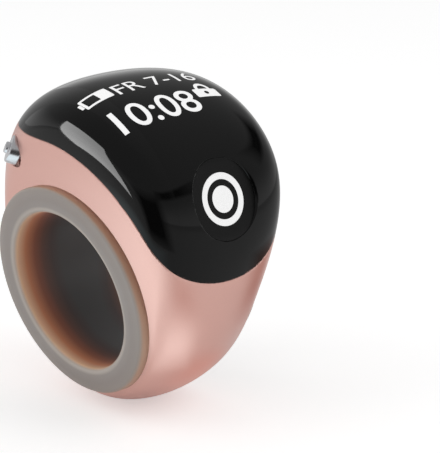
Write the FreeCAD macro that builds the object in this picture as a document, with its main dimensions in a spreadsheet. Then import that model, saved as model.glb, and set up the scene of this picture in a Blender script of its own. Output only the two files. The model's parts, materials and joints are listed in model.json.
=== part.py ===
"""Digital tasbih counter: a finger ring with a glossy domed display cover and a count key.

Frame: millimetres. The origin is the centre of the finger bore and +X runs along the
finger. +Z goes up through the display. The count key faces the front, which is -Y.
"""
import FreeCAD, Part
import math
import os
from types import SimpleNamespace

Vector = FreeCAD.Vector
X_AXIS = Vector(1, 0, 0)
Y_AXIS = Vector(0, 1, 0)
Z_AXIS = Vector(0, 0, 1)

# Driving dimensions: name, value in millimetres or degrees, what it is.
SIZES = [
    ("finger_bore_radius", 9.05, "inside radius of the sleeve, for a finger of ring size 18"),
    ("sleeve_wall", 1.15, "wall of the sleeve's tube"),
    ("sleeve_gap", 0.05, "clearance between sleeve and shell"),
    ("flange_rise", 1.75, "flange height over the sleeve's tube"),
    ("flange_thickness", 1.2, "thickness of the sleeve's flanges"),
    ("flange_round", 0.45, "edge radius of the flanges"),
    ("side_half_width", 7.9, "half the housing's width at the height of the bore's axis"),
    ("keystone_tilt", 10.0, "lean of each side face, so that the top is wider"),
    ("side_land", 1.0, "flat ring of the side face outside the bore"),
    ("shoulder_strips", 8, "strips that round each shoulder, from side face to crown"),
    ("side_overshoot", 0.35, "how far the moulded form starts outside the flat side"),
    ("rim_front", 4.35, "housing thickness outside the bore, towards the front"),
    ("rim_front_top", 10.25, "the same, halfway from front to top"),
    ("rim_top", 11.95, "the same, at the top"),
    ("rim_back_top", 8.5, "the same, halfway from top to back"),
    ("rim_back", 3.0, "the same, at the back"),
    ("rim_back_bottom", 3.0, "the same, halfway from back to bottom"),
    ("rim_bottom", 3.85, "the same, at the bottom"),
    ("rim_front_bottom", 3.4, "the same, halfway from bottom to front"),
    ("fullness_top", 0.88, "how square the cross-section is at the top, from 0 to 1"),
    ("fullness_bottom", 0.72, "how square it is at the bottom"),
    ("case_wall", 1.3, "wall of the shell and of the cover"),
    ("tube_wall", 1.0, "wall between finger bore and cavity"),
    ("cavity_floor", 6.6, "height of the cavity's floor over the bore's axis"),
    ("cavity_bevel", 4.0, "bevel of the cavity's upper edges, along the finger"),
    ("cavity_bevel_slope", 0.95, "how far that bevel falls for each millimetre outwards"),
    ("cavity_corner", 3.6, "bevel of the cavity's upright corners"),
    ("parting_level", 16.7, "height of the joint between shell and cover at the back"),
    ("parting_start", 1.2, "where the joint starts to fall, behind the bore's axis"),
    ("parting_radius", 11.0, "radius of the joint's bend"),
    ("parting_slope", 45.0, "slope of the joint where it falls to the front"),
    ("lip_depth", 0.9, "how far the cover's lip reaches into the shell"),
    ("lip_thickness", 0.55, "thickness of that lip"),
    ("lip_gap", 0.06, "clearance round the lip"),
    ("seal_thickness", 0.35, "thickness of the seal under the lip"),
    ("key_angle", 40.0, "direction of the count key, seen from the bore's axis"),
    ("key_tilt", 21.0, "how far the count key's axis leans up"),
    ("key_radius", 4.35, "radius of the count key's face"),
    ("key_gap", 0.08, "running gap round the count key"),
    ("key_dish", 0.35, "depth of the dish in the count key"),
    ("key_rim", 0.3, "flat rim left round that dish"),
    ("key_skirt", 1.95, "depth of the count key down to its collar"),
    ("key_collar_width", 0.65, "how far the collar stands out under the cover"),
    ("key_collar_thickness", 0.45, "thickness of the collar"),
    ("key_post_radius", 0.9, "radius of the post that presses the switch"),
    ("key_travel", 0.35, "travel of the count key"),
    ("key_stand", 0.6, "length of the post, down to the switch's plunger"),
    ("boss_wall", 0.8, "wall of the boss round the count key, inside the cover"),
    ("switch_width", 3.4, "side of the count switch"),
    ("switch_height", 1.1, "height of the count switch"),
    ("plunger_radius", 0.75, "radius of the count switch's plunger"),
    ("plunger_rise", 0.5, "height of the plunger over the switch at rest"),
    ("switch_board_length", 7.4, "length of the small board under the count switch"),
    ("switch_board_width", 7.0, "width of that board"),
    ("board_thickness", 0.5, "thickness of both boards"),
    ("side_key_x", 9.55, "distance of the side key from the ring's mid-plane"),
    ("side_key_y", 8.0, "how far the side key sits towards the back"),
    ("side_key_z", 14.2, "height of the side key"),
    ("side_key_turn", 36.6, "how far the side key's axis turns to the back"),
    ("side_key_lift", 22.3, "how far it leans up"),
    ("side_key_radius", 1.3, "radius of the side key's head"),
    ("side_key_rise", 1.05, "how far the side key's head stands out"),
    ("side_key_pip_radius", 0.65, "radius of the pip on the side key"),
    ("side_key_pip_rise", 0.45, "height of that pip"),
    ("side_key_recess", 0.75, "depth of the recess round the side key"),
    ("side_key_gap", 0.1, "gap round the side key's head"),
    ("side_key_stem_radius", 0.7, "radius of the side key's stem"),
    ("side_key_stem_gap", 0.05, "running gap round that stem"),
    ("side_key_stem_length", 2.35, "length of that stem"),
    ("side_key_travel", 0.3, "travel of the side key"),
    ("side_clip_radius", 1.15, "radius of the clip that holds the side key in"),
    ("side_clip_thickness", 0.35, "thickness of that clip"),
    ("side_clip_setback", 0.1, "from that clip to the end of the stem"),
    ("side_seat_gap", 0.05, "gap between the side key's seats and the shell"),
    ("side_switch_width", 2.4, "side of the side switch"),
    ("side_switch_height", 0.9, "height of the side switch"),
    ("side_plunger_radius", 0.45, "radius of the side switch's plunger"),
    ("side_plunger_rise", 0.35, "height of that plunger over the switch at rest"),
    ("plunger_root", 0.2, "length of each plunger inside its switch at rest"),
    ("plunger_gap", 0.1, "clearance round and under each plunger"),
    ("switch_corner", 0.3, "corner radius of both switches"),
    ("side_ear_depth", 1.6, "depth of the carrier's ear behind the side switch"),
    ("side_ear_width", 3.0, "width of that ear"),
    ("carrier_beside", 0.5, "how far the carrier reaches out on each side of the battery"),
    ("carrier_back", 11.4, "how far the carrier reaches to the back"),
    ("carrier_gap", 0.25, "gap between the carrier and the shell's walls"),
    ("rim_width", 0.7, "thickness of the rim round the battery"),
    ("rim_height", 0.9, "height of that rim over the deck"),
    ("battery_width", 12.6, "battery, along the finger"),
    ("battery_length", 9.4, "battery, front to back"),
    ("battery_thickness", 2.9, "thickness of the battery"),
    ("battery_back", 4.4, "back edge of the battery, behind the bore's axis"),
    ("battery_corner", 1.0, "corner radius of the battery"),
    ("battery_headroom", 0.6, "gap between the battery and the main board"),
    ("tab_thickness", 0.7, "thickness of the tab at the battery's back"),
    ("tab_lift", 0.2, "height of that tab over the deck"),
    ("lead_radius", 0.3, "radius of the battery's leads"),
    ("fit_gap", 0.1, "clearance round parts laid into the carrier"),
    ("board_drop", 3.05, "from the display's face down to the main board's underside"),
    ("board_inset", 0.2, "how far the display's frame overhangs the main board's sides"),
    ("board_ahead", 0.5, "how far the board reaches ahead of the display's panel"),
    ("board_behind", 2.6, "how far it reaches behind the battery"),
    ("post_radius", 0.75, "radius of the carrier's posts"),
    ("post_inset_side", 1.5, "from the posts' axes to the main board's sides"),
    ("post_inset_front", 1.3, "from the front posts' axes to the board's front edge"),
    ("post_inset_back", 1.1, "from the back posts' axes to its back edge"),
    ("pin_radius", 0.4, "radius of the locating pins"),
    ("hole_gap", 0.05, "clearance of the board's holes round pins and screws"),
    ("screw_radius", 0.4, "radius of the screws' shanks"),
    ("screw_length", 2.0, "length of those shanks"),
    ("screw_slot", 0.25, "width of the slots in the screws' heads"),
    ("thread_gap", 0.02, "clearance round the shanks in the posts"),
    ("screw_head_radius", 0.8, "radius of the screws' heads"),
    ("screw_head_height", 0.4, "height of the screws' heads"),
    ("board_corner", 1.5, "radius of the main board's corners"),
    ("panel_width", 13.6, "display panel, along the finger"),
    ("panel_depth", 8.0, "display panel, front to back"),
    ("panel_thickness", 1.1, "thickness of the display panel"),
    ("panel_tilt", 14.0, "how far the display leans to the front"),
    ("panel_front", 3.3, "middle of the display, ahead of the bore's axis"),
    ("panel_level", 19.15, "height of the middle of the display's face"),
    ("frame_border", 0.5, "border of the display's frame round the panel"),
    ("frame_ledge", 0.7, "ledge under the panel's edge"),
    ("frame_hold", 0.55, "how far the frame reaches up the panel's edge"),
    ("motor_radius", 1.6, "radius of the vibration motor"),
    ("motor_length", 5.6, "length of the motor's case"),
    ("motor_behind", 4.95, "motor's axis, behind the battery"),
    ("motor_rise", 0.55, "height of the motor's axis over the carrier's deck"),
    ("motor_x", -2.6, "left end of the motor's case"),
    ("motor_bearing", 1.5, "depth of the shaft's bore in the motor"),
    ("nest_gap", 0.05, "clearance round the motor in the carrier"),
    ("shaft_radius", 0.35, "radius of the motor's shaft"),
    ("shaft_gap", 0.05, "running gap round that shaft"),
    ("shaft_hold", 1.2, "length of the shaft inside the motor"),
    ("weight_radius", 1.3, "radius of the eccentric weight"),
    ("weight_length", 2.0, "length of the eccentric weight"),
    ("weight_web", 0.25, "wall between the weight's bore and its flat"),
    ("weight_gap", 0.35, "gap between motor and weight"),
    ("spin_gap", 0.35, "room left round the turning weight"),
    ("chip_gap", 0.4, "gap between the parts on the main board"),
    ("processor_side", 3.2, "side of the processor"),
    ("processor_height", 0.8, "height of the processor"),
    ("power_side", 2.0, "side of the power chip"),
    ("power_height", 0.7, "height of the power chip"),
    ("crystal_length", 1.4, "length of the clock crystal"),
    ("crystal_width", 0.9, "width of the clock crystal"),
    ("crystal_height", 0.5, "height of the clock crystal"),
    ("antenna_length", 3.0, "length of the antenna"),
    ("antenna_width", 1.2, "width of the antenna"),
    ("antenna_height", 0.8, "height of the antenna"),
    ("capacitor_length", 1.0, "length of each capacitor"),
    ("capacitor_width", 0.5, "width of each capacitor"),
    ("capacitor_height", 0.5, "height of each capacitor"),
    ("capacitor_pitch", 1.5, "spacing of the capacitors"),
    ("flex_thickness", 0.15, "thickness of the display's ribbon"),
    ("flex_width", 5.0, "width of that ribbon"),
    ("flex_start", 2.4, "where the ribbon leaves the panel, behind its middle"),
    ("flex_bend", 1.2, "where it bends down, behind the panel's middle"),
    ("flex_foot", 1.0, "length of its foot on the main board"),
]

# Sizes that follow from those above: name, formula, what it is.
DERIVED = [
    ("board_level", "panel_level - board_drop", "height of the main board's underside"),
    ("deck_height", "board_level - battery_headroom - battery_thickness",
     "height of the carrier's deck, where the battery lies"),
    ("carrier_half_width", "battery_width / 2 + carrier_beside", "half the width of the carrier"),
    ("battery_front", "battery_length - battery_back", "its front edge, ahead of the bore's axis"),
    ("board_half_width", "panel_width / 2 + frame_border + fit_gap - board_inset",
     "half the width of the main board"),
    ("board_front", "panel_front + panel_depth / 2 + board_ahead",
     "how far the main board reaches to the front"),
    ("board_back", "battery_back + board_behind", "how far it reaches to the back"),
    ("post_x", "board_half_width - post_inset_side", "distance of the posts from the mid-plane"),
    ("post_front", "board_front - post_inset_front", "front posts, ahead of the bore's axis"),
    ("post_back", "board_back - post_inset_back", "back posts, behind it"),
    ("motor_y", "battery_back + motor_behind", "motor's axis, behind the bore's axis"),
    ("motor_z", "deck_height + motor_rise", "height of the motor's axis"),
    ("frame_foot", "(panel_depth / 2 + frame_border + fit_gap) / cos(panel_tilt)"
     " + (board_drop - board_thickness) * tan(panel_tilt) - panel_front",
     "back edge of the display frame's foot on the main board"),
    ("chips_front", "frame_foot + chip_gap", "front edge of the parts on the main board"),
]

NAMES = sorted([entry[0] for entry in SIZES + DERIVED], key=lambda name: -len(name))
NODES = []
size = SimpleNamespace()
doc = FreeCAD.newDocument("tasbih_counter")
sheet = doc.addObject("Spreadsheet::Sheet", "sizes")


def fill_sheet():
    """Write the sizes to the sheet, and keep them as plain numbers too."""
    rows = SIZES + [(name, f"={formula}", meaning) for name, formula, meaning in DERIVED]
    for row, (name, value, meaning) in enumerate(rows, start=1):
        sheet.set(f"A{row}", name)
        sheet.setAlias(f"B{row}", name)
        sheet.set(f"B{row}", str(value))
        sheet.set(f"C{row}", meaning)
    doc.recompute()
    for name in NAMES:
        setattr(size, name, float(sheet.get(name)))


fill_sheet()

LEAN = math.tan(math.radians(size.keystone_tilt))
FAR = 40.0  # reaches outside the ring from its middle, for cutting tools


# ---------------------------------------------------------------- helpers
def bind(item, **formulas):
    """Tie properties of an object to the sheet; sizes are named without their prefix."""
    for prop, formula in formulas.items():
        words = formula
        for name in NAMES:
            words = words.replace(f"<{name}>", f"sizes.{name}")
        item.setExpression(prop.replace("__", "."), words)
    return item


def box(label, length, width, height, corner):
    """A box whose sides and lowest corner are formulas of the sheet's sizes."""
    item = doc.addObject("Part::Box", label)
    bind(item, Length=length, Width=width, Height=height)
    bind(item, Placement__Base__x=corner[0], Placement__Base__y=corner[1], Placement__Base__z=corner[2])
    return item


def rod(label, radius, length, frame=None):
    """A cylinder with formulas for its radius and length, standing in the given frame."""
    item = doc.addObject("Part::Cylinder", label)
    bind(item, Radius=radius, Height=length)
    if frame is not None:
        item.Placement = frame
    return item


def fused(label, pieces):
    item = doc.addObject("Part::MultiFuse", label)
    item.Shapes = pieces
    item.Refine = True
    return item


def cut(label, base, tool):
    item = doc.addObject("Part::Cut", label)
    item.Base = base
    item.Tool = tool
    item.Refine = True
    return item


def common(label, pieces):
    item = doc.addObject("Part::MultiCommon", label)
    item.Shapes = pieces
    item.Refine = True
    return item


def solid(label, shape):
    """A piece whose shape is made by the functions of this file."""
    item = doc.addObject("Part::Feature", label)
    item.Shape = shape
    return item


def node(item, label):
    """Name a finished piece and list it for export."""
    item.Label = label
    NODES.append(item)
    return item


def new_body(name):
    body = doc.addObject("PartDesign::Body", name)
    return body


def origin_plane(body, role):
    for feature in body.Origin.OriginFeatures:
        if feature.Role == role:
            return feature
    raise ValueError(role)


def new_sketch(body, name, role):
    sketch = body.newObject("Sketcher::SketchObject", name)
    sketch.AttachmentSupport = [(origin_plane(body, role), "")]
    sketch.MapMode = "FlatFace"
    return sketch


def centred_rectangle(sketch, width, depth):
    """A rectangle about the sketch's origin, with its two sides tied to the sheet."""
    import Sketcher
    corners = [Vector(-1, -1, 0), Vector(1, -1, 0), Vector(1, 1, 0), Vector(-1, 1, 0)]
    first = sketch.GeometryCount
    for index in range(4):
        sketch.addGeometry(Part.LineSegment(corners[index], corners[(index + 1) % 4]), False)
    for index in range(4):
        following = first + (index + 1) % 4
        sketch.addConstraint(Sketcher.Constraint("Coincident", first + index, 2, following, 1))
    for index in (0, 2):
        sketch.addConstraint(Sketcher.Constraint("Horizontal", first + index))
        sketch.addConstraint(Sketcher.Constraint("Vertical", first + index + 1))
    sketch.addConstraint(Sketcher.Constraint("Symmetric", first, 1, first + 1, 2, -1, 1))
    across = sketch.addConstraint(Sketcher.Constraint("Distance", first, 2.0))
    along = sketch.addConstraint(Sketcher.Constraint("Distance", first + 1, 2.0))
    bind(sketch, **{f"Constraints[{across}]": width, f"Constraints[{along}]": depth})


def upright_edges(shape):
    """Names of the straight edges that run along the body's own Z."""
    names = []
    for number, edge in enumerate(shape.Edges, start=1):
        first, last = edge.Vertexes[0].Point, edge.Vertexes[-1].Point
        if abs(first.x - last.x) + abs(first.y - last.y) < 1e-6 and edge.Length > 1e-3:
            names.append(f"Edge{number}")
    return names


def plate(label, width, depth, height, corner_radius=None):
    """A padded rectangle with rounded upright corners, centred on its own origin."""
    body = new_body(label)
    sketch = new_sketch(body, f"{label}_outline", "XY_Plane")
    centred_rectangle(sketch, width, depth)
    pad = body.newObject("PartDesign::Pad", f"{label}_pad")
    pad.Profile = sketch
    bind(pad, Length=height)
    doc.recompute()
    if corner_radius:
        rounding = body.newObject("PartDesign::Fillet", f"{label}_corners")
        rounding.Base = (pad, upright_edges(pad.Shape))
        bind(rounding, Radius=corner_radius)
        doc.recompute()
    return body


# ---------------------------------------------------------------- housing form
shell_bore = size.finger_bore_radius + size.sleeve_wall + size.sleeve_gap
tube_radius = shell_bore + size.tube_wall
RIMS = [
    size.rim_front, size.rim_front_top, size.rim_top, size.rim_back_top,
    size.rim_back, size.rim_back_bottom, size.rim_bottom, size.rim_front_bottom,
]


def half_width(height):
    """Distance of the leaning side faces from the mid-plane at a height."""
    return size.side_half_width + height * LEAN


def crown_point(number, inset=0.0):
    """The point of the housing's outline in the mid-plane that belongs to one rim."""
    angle = 2 * math.pi * number / len(RIMS)
    reach = shell_bore + RIMS[number] - inset
    return Vector(0, -reach * math.cos(angle), reach * math.sin(angle))


def shoulder_share(share):
    """Spreads points along a shoulder's curve, closest together where it bends most."""
    return share + 0.45 * math.sin(2 * math.pi * share) / (2 * math.pi)


def ring_section(angle, reach, fullness):
    """The housing's section in the half-plane at an angle from the front, upwards.

    It follows two curves from the side faces to the crown, in short steps that each
    become a strip round the ring, and closes inside the finger bore.
    """
    start = shell_bore + size.side_land
    inner = shell_bore - size.side_land
    bend = start + fullness * (reach - start)

    def place(share, radius):
        height = radius * math.sin(angle)
        across = share * (half_width(height) + size.side_overshoot)
        return Vector(across, -radius * math.cos(angle), height)

    near = Part.BezierCurve()
    near.setPoles([place(-1, start), place(-1, bend), place(-fullness, reach), place(0, reach)])
    far = Part.BezierCurve()
    far.setPoles([place(1, start), place(1, bend), place(fullness, reach), place(0, reach)])
    count = int(size.shoulder_strips)
    steps = [shoulder_share(number / count) for number in range(count)]
    points = [near.value(step) for step in steps] + [far.value(step) for step in reversed(steps)]
    points += [place(1, inner), place(-1, inner)]
    edges = []
    for number, point in enumerate(points):
        edges.append(Part.LineSegment(point, points[(number + 1) % len(points)]).toShape())
    return Part.Wire(edges)


def moulded_form():
    """The closed loft round the finger bore, through one section for each rim."""
    sections = []
    for number, rim in enumerate(RIMS):
        angle = 2 * math.pi * number / len(RIMS)
        height_share = (math.sin(angle) + 1) / 2
        fullness = size.fullness_bottom + (size.fullness_top - size.fullness_bottom) * height_share
        sections.append(ring_section(angle, shell_bore + rim, fullness))
    return Part.makeLoft(sections, True, False, True)


def prism(points, direction, reach):
    """A closed outline swept both ways along a direction."""
    outline = Part.makePolygon(points + points[:1])
    body = Part.Face(outline).extrude(direction * 2 * reach)
    body.translate(direction * -reach)
    return body


def keystone(outset):
    """The wedge between the two leaning side faces, moved outwards by a distance."""
    low = half_width(-FAR) + outset
    high = half_width(FAR) + outset
    points = [Vector(low, 0, -FAR), Vector(high, 0, FAR), Vector(-high, 0, FAR), Vector(-low, 0, -FAR)]
    return prism(points, Y_AXIS, FAR)


def bore_rod(radius):
    """A long cylinder on the finger bore's axis."""
    return Part.makeCylinder(radius, 2 * FAR, Vector(-FAR, 0, 0), X_AXIS)


housing_form = moulded_form().common(keystone(0.0)).cut(bore_rod(shell_bore))
form_box = housing_form.optimalBoundingBox(False, False)


def cavity(grow=0.0):
    """The space inside shell and cover, grown sideways where a lip or a seal needs it.

    Its roof is a drum on one round bend through three points of the housing's outline,
    with bevelled rims. Leaning side walls and upright front and back walls close it, and
    its floor lies outside the tube round the finger.
    """
    wall = size.case_wall - grow
    bend = Part.Arc(crown_point(1), crown_point(2), crown_point(3)).toShape().Curve
    radius = bend.Radius - wall
    wide = half_width(bend.Center.z + radius)
    flat = wide - wall - size.cavity_bevel
    low = radius - (wide - flat) * size.cavity_bevel_slope
    rim = [
        Vector(-wide, 0, 0), Vector(-wide, 0, low), Vector(-flat, 0, radius),
        Vector(flat, 0, radius), Vector(wide, 0, low), Vector(wide, 0, 0),
    ]
    drum = Part.Face(Part.makePolygon(rim + rim[:1])).revolve(Vector(), X_AXIS, 360)
    drum.translate(bend.Center)
    front = form_box.YMin + wall
    back = form_box.YMax - wall
    side = half_width(size.cavity_floor) - wall + size.cavity_corner
    corner = 2 * size.cavity_corner
    plan = [
        Vector(-side + corner, front, 0), Vector(-side, front + corner, 0),
        Vector(-side, back - corner, 0), Vector(-side + corner, back, 0),
    ]
    plan += [Vector(-point.x, point.y, 0) for point in reversed(plan)]
    room = prism(plan, Z_AXIS, FAR).common(Part.makeBox(
        2 * FAR, 2 * FAR, FAR, Vector(-FAR, -FAR, size.cavity_floor)))
    return drum.common(keystone(-wall)).common(room).cut(bore_rod(tube_radius))


def above_joint(drop=0.0):
    """Everything above the joint between shell and cover, lowered by a drop."""
    turn = math.radians(size.parting_slope)
    bend = size.parting_radius
    start = Vector(0, size.parting_start, size.parting_level - drop)
    middle = start + Vector(0, -bend * math.sin(turn / 2), -bend * (1 - math.cos(turn / 2)))
    end = start + Vector(0, -bend * math.sin(turn), -bend * (1 - math.cos(turn)))
    run = FAR
    tip = end + Vector(0, -run, -run * math.tan(turn))
    edges = [
        Part.LineSegment(Vector(0, FAR, start.z), start).toShape(),
        Part.Arc(start, middle, end).toShape(),
        Part.LineSegment(end, tip).toShape(),
        Part.LineSegment(tip, Vector(0, tip.y, FAR)).toShape(),
        Part.LineSegment(Vector(0, tip.y, FAR), Vector(0, FAR, FAR)).toShape(),
        Part.LineSegment(Vector(0, FAR, FAR), Vector(0, FAR, start.z)).toShape(),
    ]
    block = Part.Face(Part.Wire(edges)).extrude(X_AXIS * 2 * FAR)
    block.translate(Vector(-FAR, 0, 0))
    return block


def joint_band(width, top, bottom):
    """A strip inside the cavity's wall, between two levels under the joint."""
    ring = cavity(width).cut(cavity())
    return ring.common(above_joint(bottom)).cut(above_joint(top))


# ---------------------------------------------------------------- frames of the keys
def inner_frame(point, outward):
    """A placement at a point of the surface, its local Z pointing into the housing."""
    inward = outward * -1
    level = Vector(0, 0, 1).cross(inward)
    level.normalize()
    upright = inward.cross(level)
    turn = FreeCAD.Rotation(level, upright, inward, "ZXY")
    return FreeCAD.Placement(point, turn)


def below(frame, depth):
    """The same frame, moved into the housing by a depth."""
    return frame.multiply(FreeCAD.Placement(Vector(0, 0, depth), FreeCAD.Rotation()))


def surface_on(start, direction):
    """Where a ray from inside the housing leaves its outer surface."""
    ray = Part.makeLine(start, start + direction * FAR)
    hits = ray.common(housing_form).Vertexes
    return max((hit.Point for hit in hits), key=lambda point: (point - start).Length)


key_lean = math.radians(size.key_tilt)
key_out = Vector(0, -math.cos(key_lean), math.sin(key_lean))
key_ray = math.radians(size.key_angle)
key_point = surface_on(Vector(), Vector(0, -math.cos(key_ray), math.sin(key_ray)))
key_frame = inner_frame(key_point, key_out)

side_turn = math.radians(size.side_key_turn)
side_lift = math.radians(size.side_key_lift)
side_out = Vector(
    -math.cos(side_lift) * math.cos(side_turn),
    math.cos(side_lift) * math.sin(side_turn),
    math.sin(side_lift))
side_middle = Vector(-size.side_key_x, size.side_key_y, size.side_key_z)
side_point = surface_on(side_middle - side_out * 2 * size.case_wall, side_out)
side_frame = inner_frame(side_point, side_out)

key_hole_radius = size.key_radius + size.key_gap
collar_radius = size.key_radius + size.key_collar_width
collar_room = collar_radius + 2 * size.key_gap
boss_radius = collar_room + size.boss_wall
collar_end = size.key_skirt + size.key_collar_thickness
post_end = collar_end + size.key_stand
switch_top = post_end + size.plunger_rise
switch_board_top = switch_top + size.switch_height
carrier_face = switch_board_top + size.board_thickness

side_base = size.side_key_recess - size.side_key_travel - size.side_seat_gap
stem_end = side_base + size.side_key_stem_length
clip_start = stem_end - size.side_clip_setback - size.side_clip_thickness
side_top = stem_end + size.side_plunger_rise
side_back = side_top + size.side_switch_height


# ---------------------------------------------------------------- shell and cover
def cylinder_in(frame, radius, start, end):
    """A plain cylinder along a frame's local Z, between two depths."""
    body = Part.makeCylinder(radius, end - start)
    body.Placement = below(frame, start)
    return body


def side_recess():
    """The round recess in which the side key's head travels."""
    radius = size.side_key_radius + size.side_key_gap
    return cylinder_in(side_frame, radius, -size.case_wall, size.side_key_recess)


def side_switch_room():
    """The side switch's block, grown by the clearance on its sides and its front."""
    wide = size.side_switch_width + 2 * size.fit_gap
    room = Part.makeBox(
        wide, wide, size.side_switch_height + size.fit_gap, Vector(-wide / 2, -wide / 2, 0))
    room.Placement = below(side_frame, side_top - size.fit_gap)
    return room


def build_shell():
    rebate = size.lip_thickness + size.lip_gap
    body = housing_form.cut(above_joint()).cut(cavity())
    body = body.cut(joint_band(rebate, 0.0, size.lip_depth + size.seal_thickness))
    stem_hole = size.side_key_stem_radius + size.side_key_stem_gap
    clip_room = size.side_clip_radius + size.side_key_gap
    clip_seat = clip_start - size.side_seat_gap
    body = body.cut(side_recess()).cut(side_switch_room())
    body = body.cut(cylinder_in(side_frame, clip_room, clip_seat, side_top))
    return body.cut(cylinder_in(side_frame, stem_hole, -size.case_wall, clip_start))


def build_cover():
    body = housing_form.common(above_joint()).cut(cavity())
    body = body.fuse(joint_band(size.lip_thickness, 0.0, size.lip_depth))
    boss = cylinder_in(key_frame, boss_radius, 0.0, collar_end).common(cavity())
    body = body.fuse(boss).removeSplitter()
    body = body.cut(cylinder_in(key_frame, key_hole_radius, -FAR / 8, FAR / 8))
    return body.cut(cylinder_in(key_frame, collar_room, size.key_skirt, FAR / 8))


shell = node(solid("ring_shell", build_shell()), "ring_shell")
cover = node(solid("top_cover", build_cover()), "top_cover")
seal_band = joint_band(size.lip_thickness, size.lip_depth, size.lip_depth + size.seal_thickness)
node(solid("cover_seal", seal_band.cut(side_recess())), "cover_seal")


# ---------------------------------------------------------------- sleeve in the finger bore
def flange(side):
    """One lip of the sleeve, turned round the side face's normal, with eased edges."""
    lean = math.radians(size.keystone_tilt)
    outward = Vector(side * math.cos(lean), 0, -math.sin(lean))
    foot = Vector(side * size.side_half_width, 0, 0)
    inner = size.finger_bore_radius - size.sleeve_gap
    outer = size.finger_bore_radius + size.sleeve_wall + size.flange_rise
    ease = size.flange_round
    thick = size.flange_thickness
    profile = [Vector(inner, 0, 0), Vector(outer, 0, 0)]
    for step in range(4):
        turn = math.pi / 6 * step
        profile.append(Vector(outer - ease + ease * math.cos(turn), 0, thick - ease + ease * math.sin(turn)))
    mouth = size.finger_bore_radius + ease
    for step in range(4):
        turn = math.pi / 6 * step
        profile.append(Vector(mouth - ease * math.sin(turn), 0, thick - ease + ease * math.cos(turn)))
    profile.append(Vector(inner, 0, thick - ease - (mouth - ease - inner)))
    disc = Part.Face(Part.makePolygon(profile + profile[:1])).revolve(Vector(), Z_AXIS, 360)
    disc.Placement = FreeCAD.Placement(foot, FreeCAD.Rotation(Z_AXIS, outward))
    return disc


def build_sleeve():
    """The tube between the leaning side faces, with a lip on each of them.

    The bore is cut straight through the tube but only up to the eased mouth of each lip.
    """
    tube = bore_rod(size.finger_bore_radius + size.sleeve_wall).common(keystone(0.0))
    body = tube.fuse([flange(-1), flange(1)])
    return body.cut(bore_rod(size.finger_bore_radius))


node(solid("size_sleeve", build_sleeve()), "size_sleeve")


# ---------------------------------------------------------------- count key and its switch
def key_rod(label, radius, start, length):
    """A cylinder on the count key's axis, from a depth inwards."""
    return rod(label, radius, length, below(key_frame, start))


def build_key_cap():
    """The key's face follows the housing's surface and has a shallow dish."""
    skirt = cylinder_in(key_frame, size.key_radius, -FAR / 8, size.key_skirt)
    body = skirt.common(moulded_form().common(keystone(0.0)))
    rim = size.key_radius - size.key_rim
    upright = key_frame.Rotation.multVec(Y_AXIS)
    start = key_point + upright * rim - key_out * FAR / 4
    edge = surface_on(start, key_out)
    sag = (key_point - edge).dot(key_out)
    radius = (rim ** 2 + size.key_dish ** 2) / (2 * size.key_dish)
    ball = Part.makeSphere(radius, key_point + key_out * (radius - sag - size.key_dish))
    return body.cut(ball)


cap = solid("key_cap", build_key_cap())
collar = key_rod("key_collar", "<key_radius> + <key_collar_width>", size.key_skirt, "<key_collar_thickness>")
post = key_rod("key_post", "<key_post_radius>", collar_end, "<key_stand>")
node(fused("count_key_body", [cap, collar, post]), "count_key")

key_board = plate(
    "key_board", "<switch_board_length>", "<switch_board_width>", "<board_thickness>",
    "2 * <switch_corner>")
key_board.Placement = below(key_frame, switch_board_top)
node(key_board, "count_switch_board")

switch_block = plate(
    "switch_block", "<switch_width>", "<switch_width>", "<switch_height>", "<switch_corner>")
switch_block.Placement = below(key_frame, switch_top)
switch_well = key_rod(
    "switch_well", "<plunger_radius> + <plunger_gap>", switch_top - size.plunger_gap,
    "<plunger_root> + <key_travel> + 2 * <plunger_gap>")
node(cut("count_switch_case", switch_block, switch_well), "count_switch")
plunger = key_rod("switch_plunger", "<plunger_radius>", post_end, "<plunger_rise> + <plunger_root>")
node(plunger, "count_switch_plunger")


# ---------------------------------------------------------------- side key and its switch
def side_rod(label, radius, start, length):
    """A cylinder on the side key's axis, from a depth inwards."""
    return rod(label, radius, length, below(side_frame, start))


head = side_rod(
    "side_head", "<side_key_radius>", side_base - size.side_key_rise, "<side_key_rise>")
pip = side_rod(
    "side_pip", "<side_key_pip_radius>", side_base - size.side_key_rise - size.side_key_pip_rise,
    "<side_key_pip_rise>")
stem = side_rod("side_stem", "<side_key_stem_radius>", side_base, "<side_key_stem_length>")
node(fused("side_key_body", [head, pip, stem]), "side_key")
clip_disc = side_rod("clip_disc", "<side_clip_radius>", clip_start, "<side_clip_thickness>")
clip_hole = side_rod(
    "clip_hole", "<side_key_stem_radius>", clip_start - size.side_clip_thickness,
    "3 * <side_clip_thickness>")
node(cut("side_clip", clip_disc, clip_hole), "side_key_clip")

side_block = plate(
    "side_block", "<side_switch_width>", "<side_switch_width>", "<side_switch_height>",
    "<switch_corner>")
side_block.Placement = below(side_frame, side_top)
side_well = side_rod(
    "side_well", "<side_plunger_radius> + <plunger_gap>", side_top - size.plunger_gap,
    "<plunger_root> + <side_key_travel> + 2 * <plunger_gap>")
node(cut("side_switch_case", side_block, side_well), "side_switch")
side_plunger = side_rod(
    "side_plunger", "<side_plunger_radius>", stem_end, "<side_plunger_rise> + <plunger_root>")
node(side_plunger, "side_switch_plunger")


# ---------------------------------------------------------------- carrier
def room_for_carrier():
    return cavity(-size.carrier_gap)


def carrier_front():
    """Half-space behind the small board, as a long block in the key's frame."""
    block = Part.makeBox(2 * FAR, 2 * FAR, 2 * FAR, Vector(-FAR, -FAR, 0))
    block.Placement = below(key_frame, carrier_face)
    return block


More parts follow.
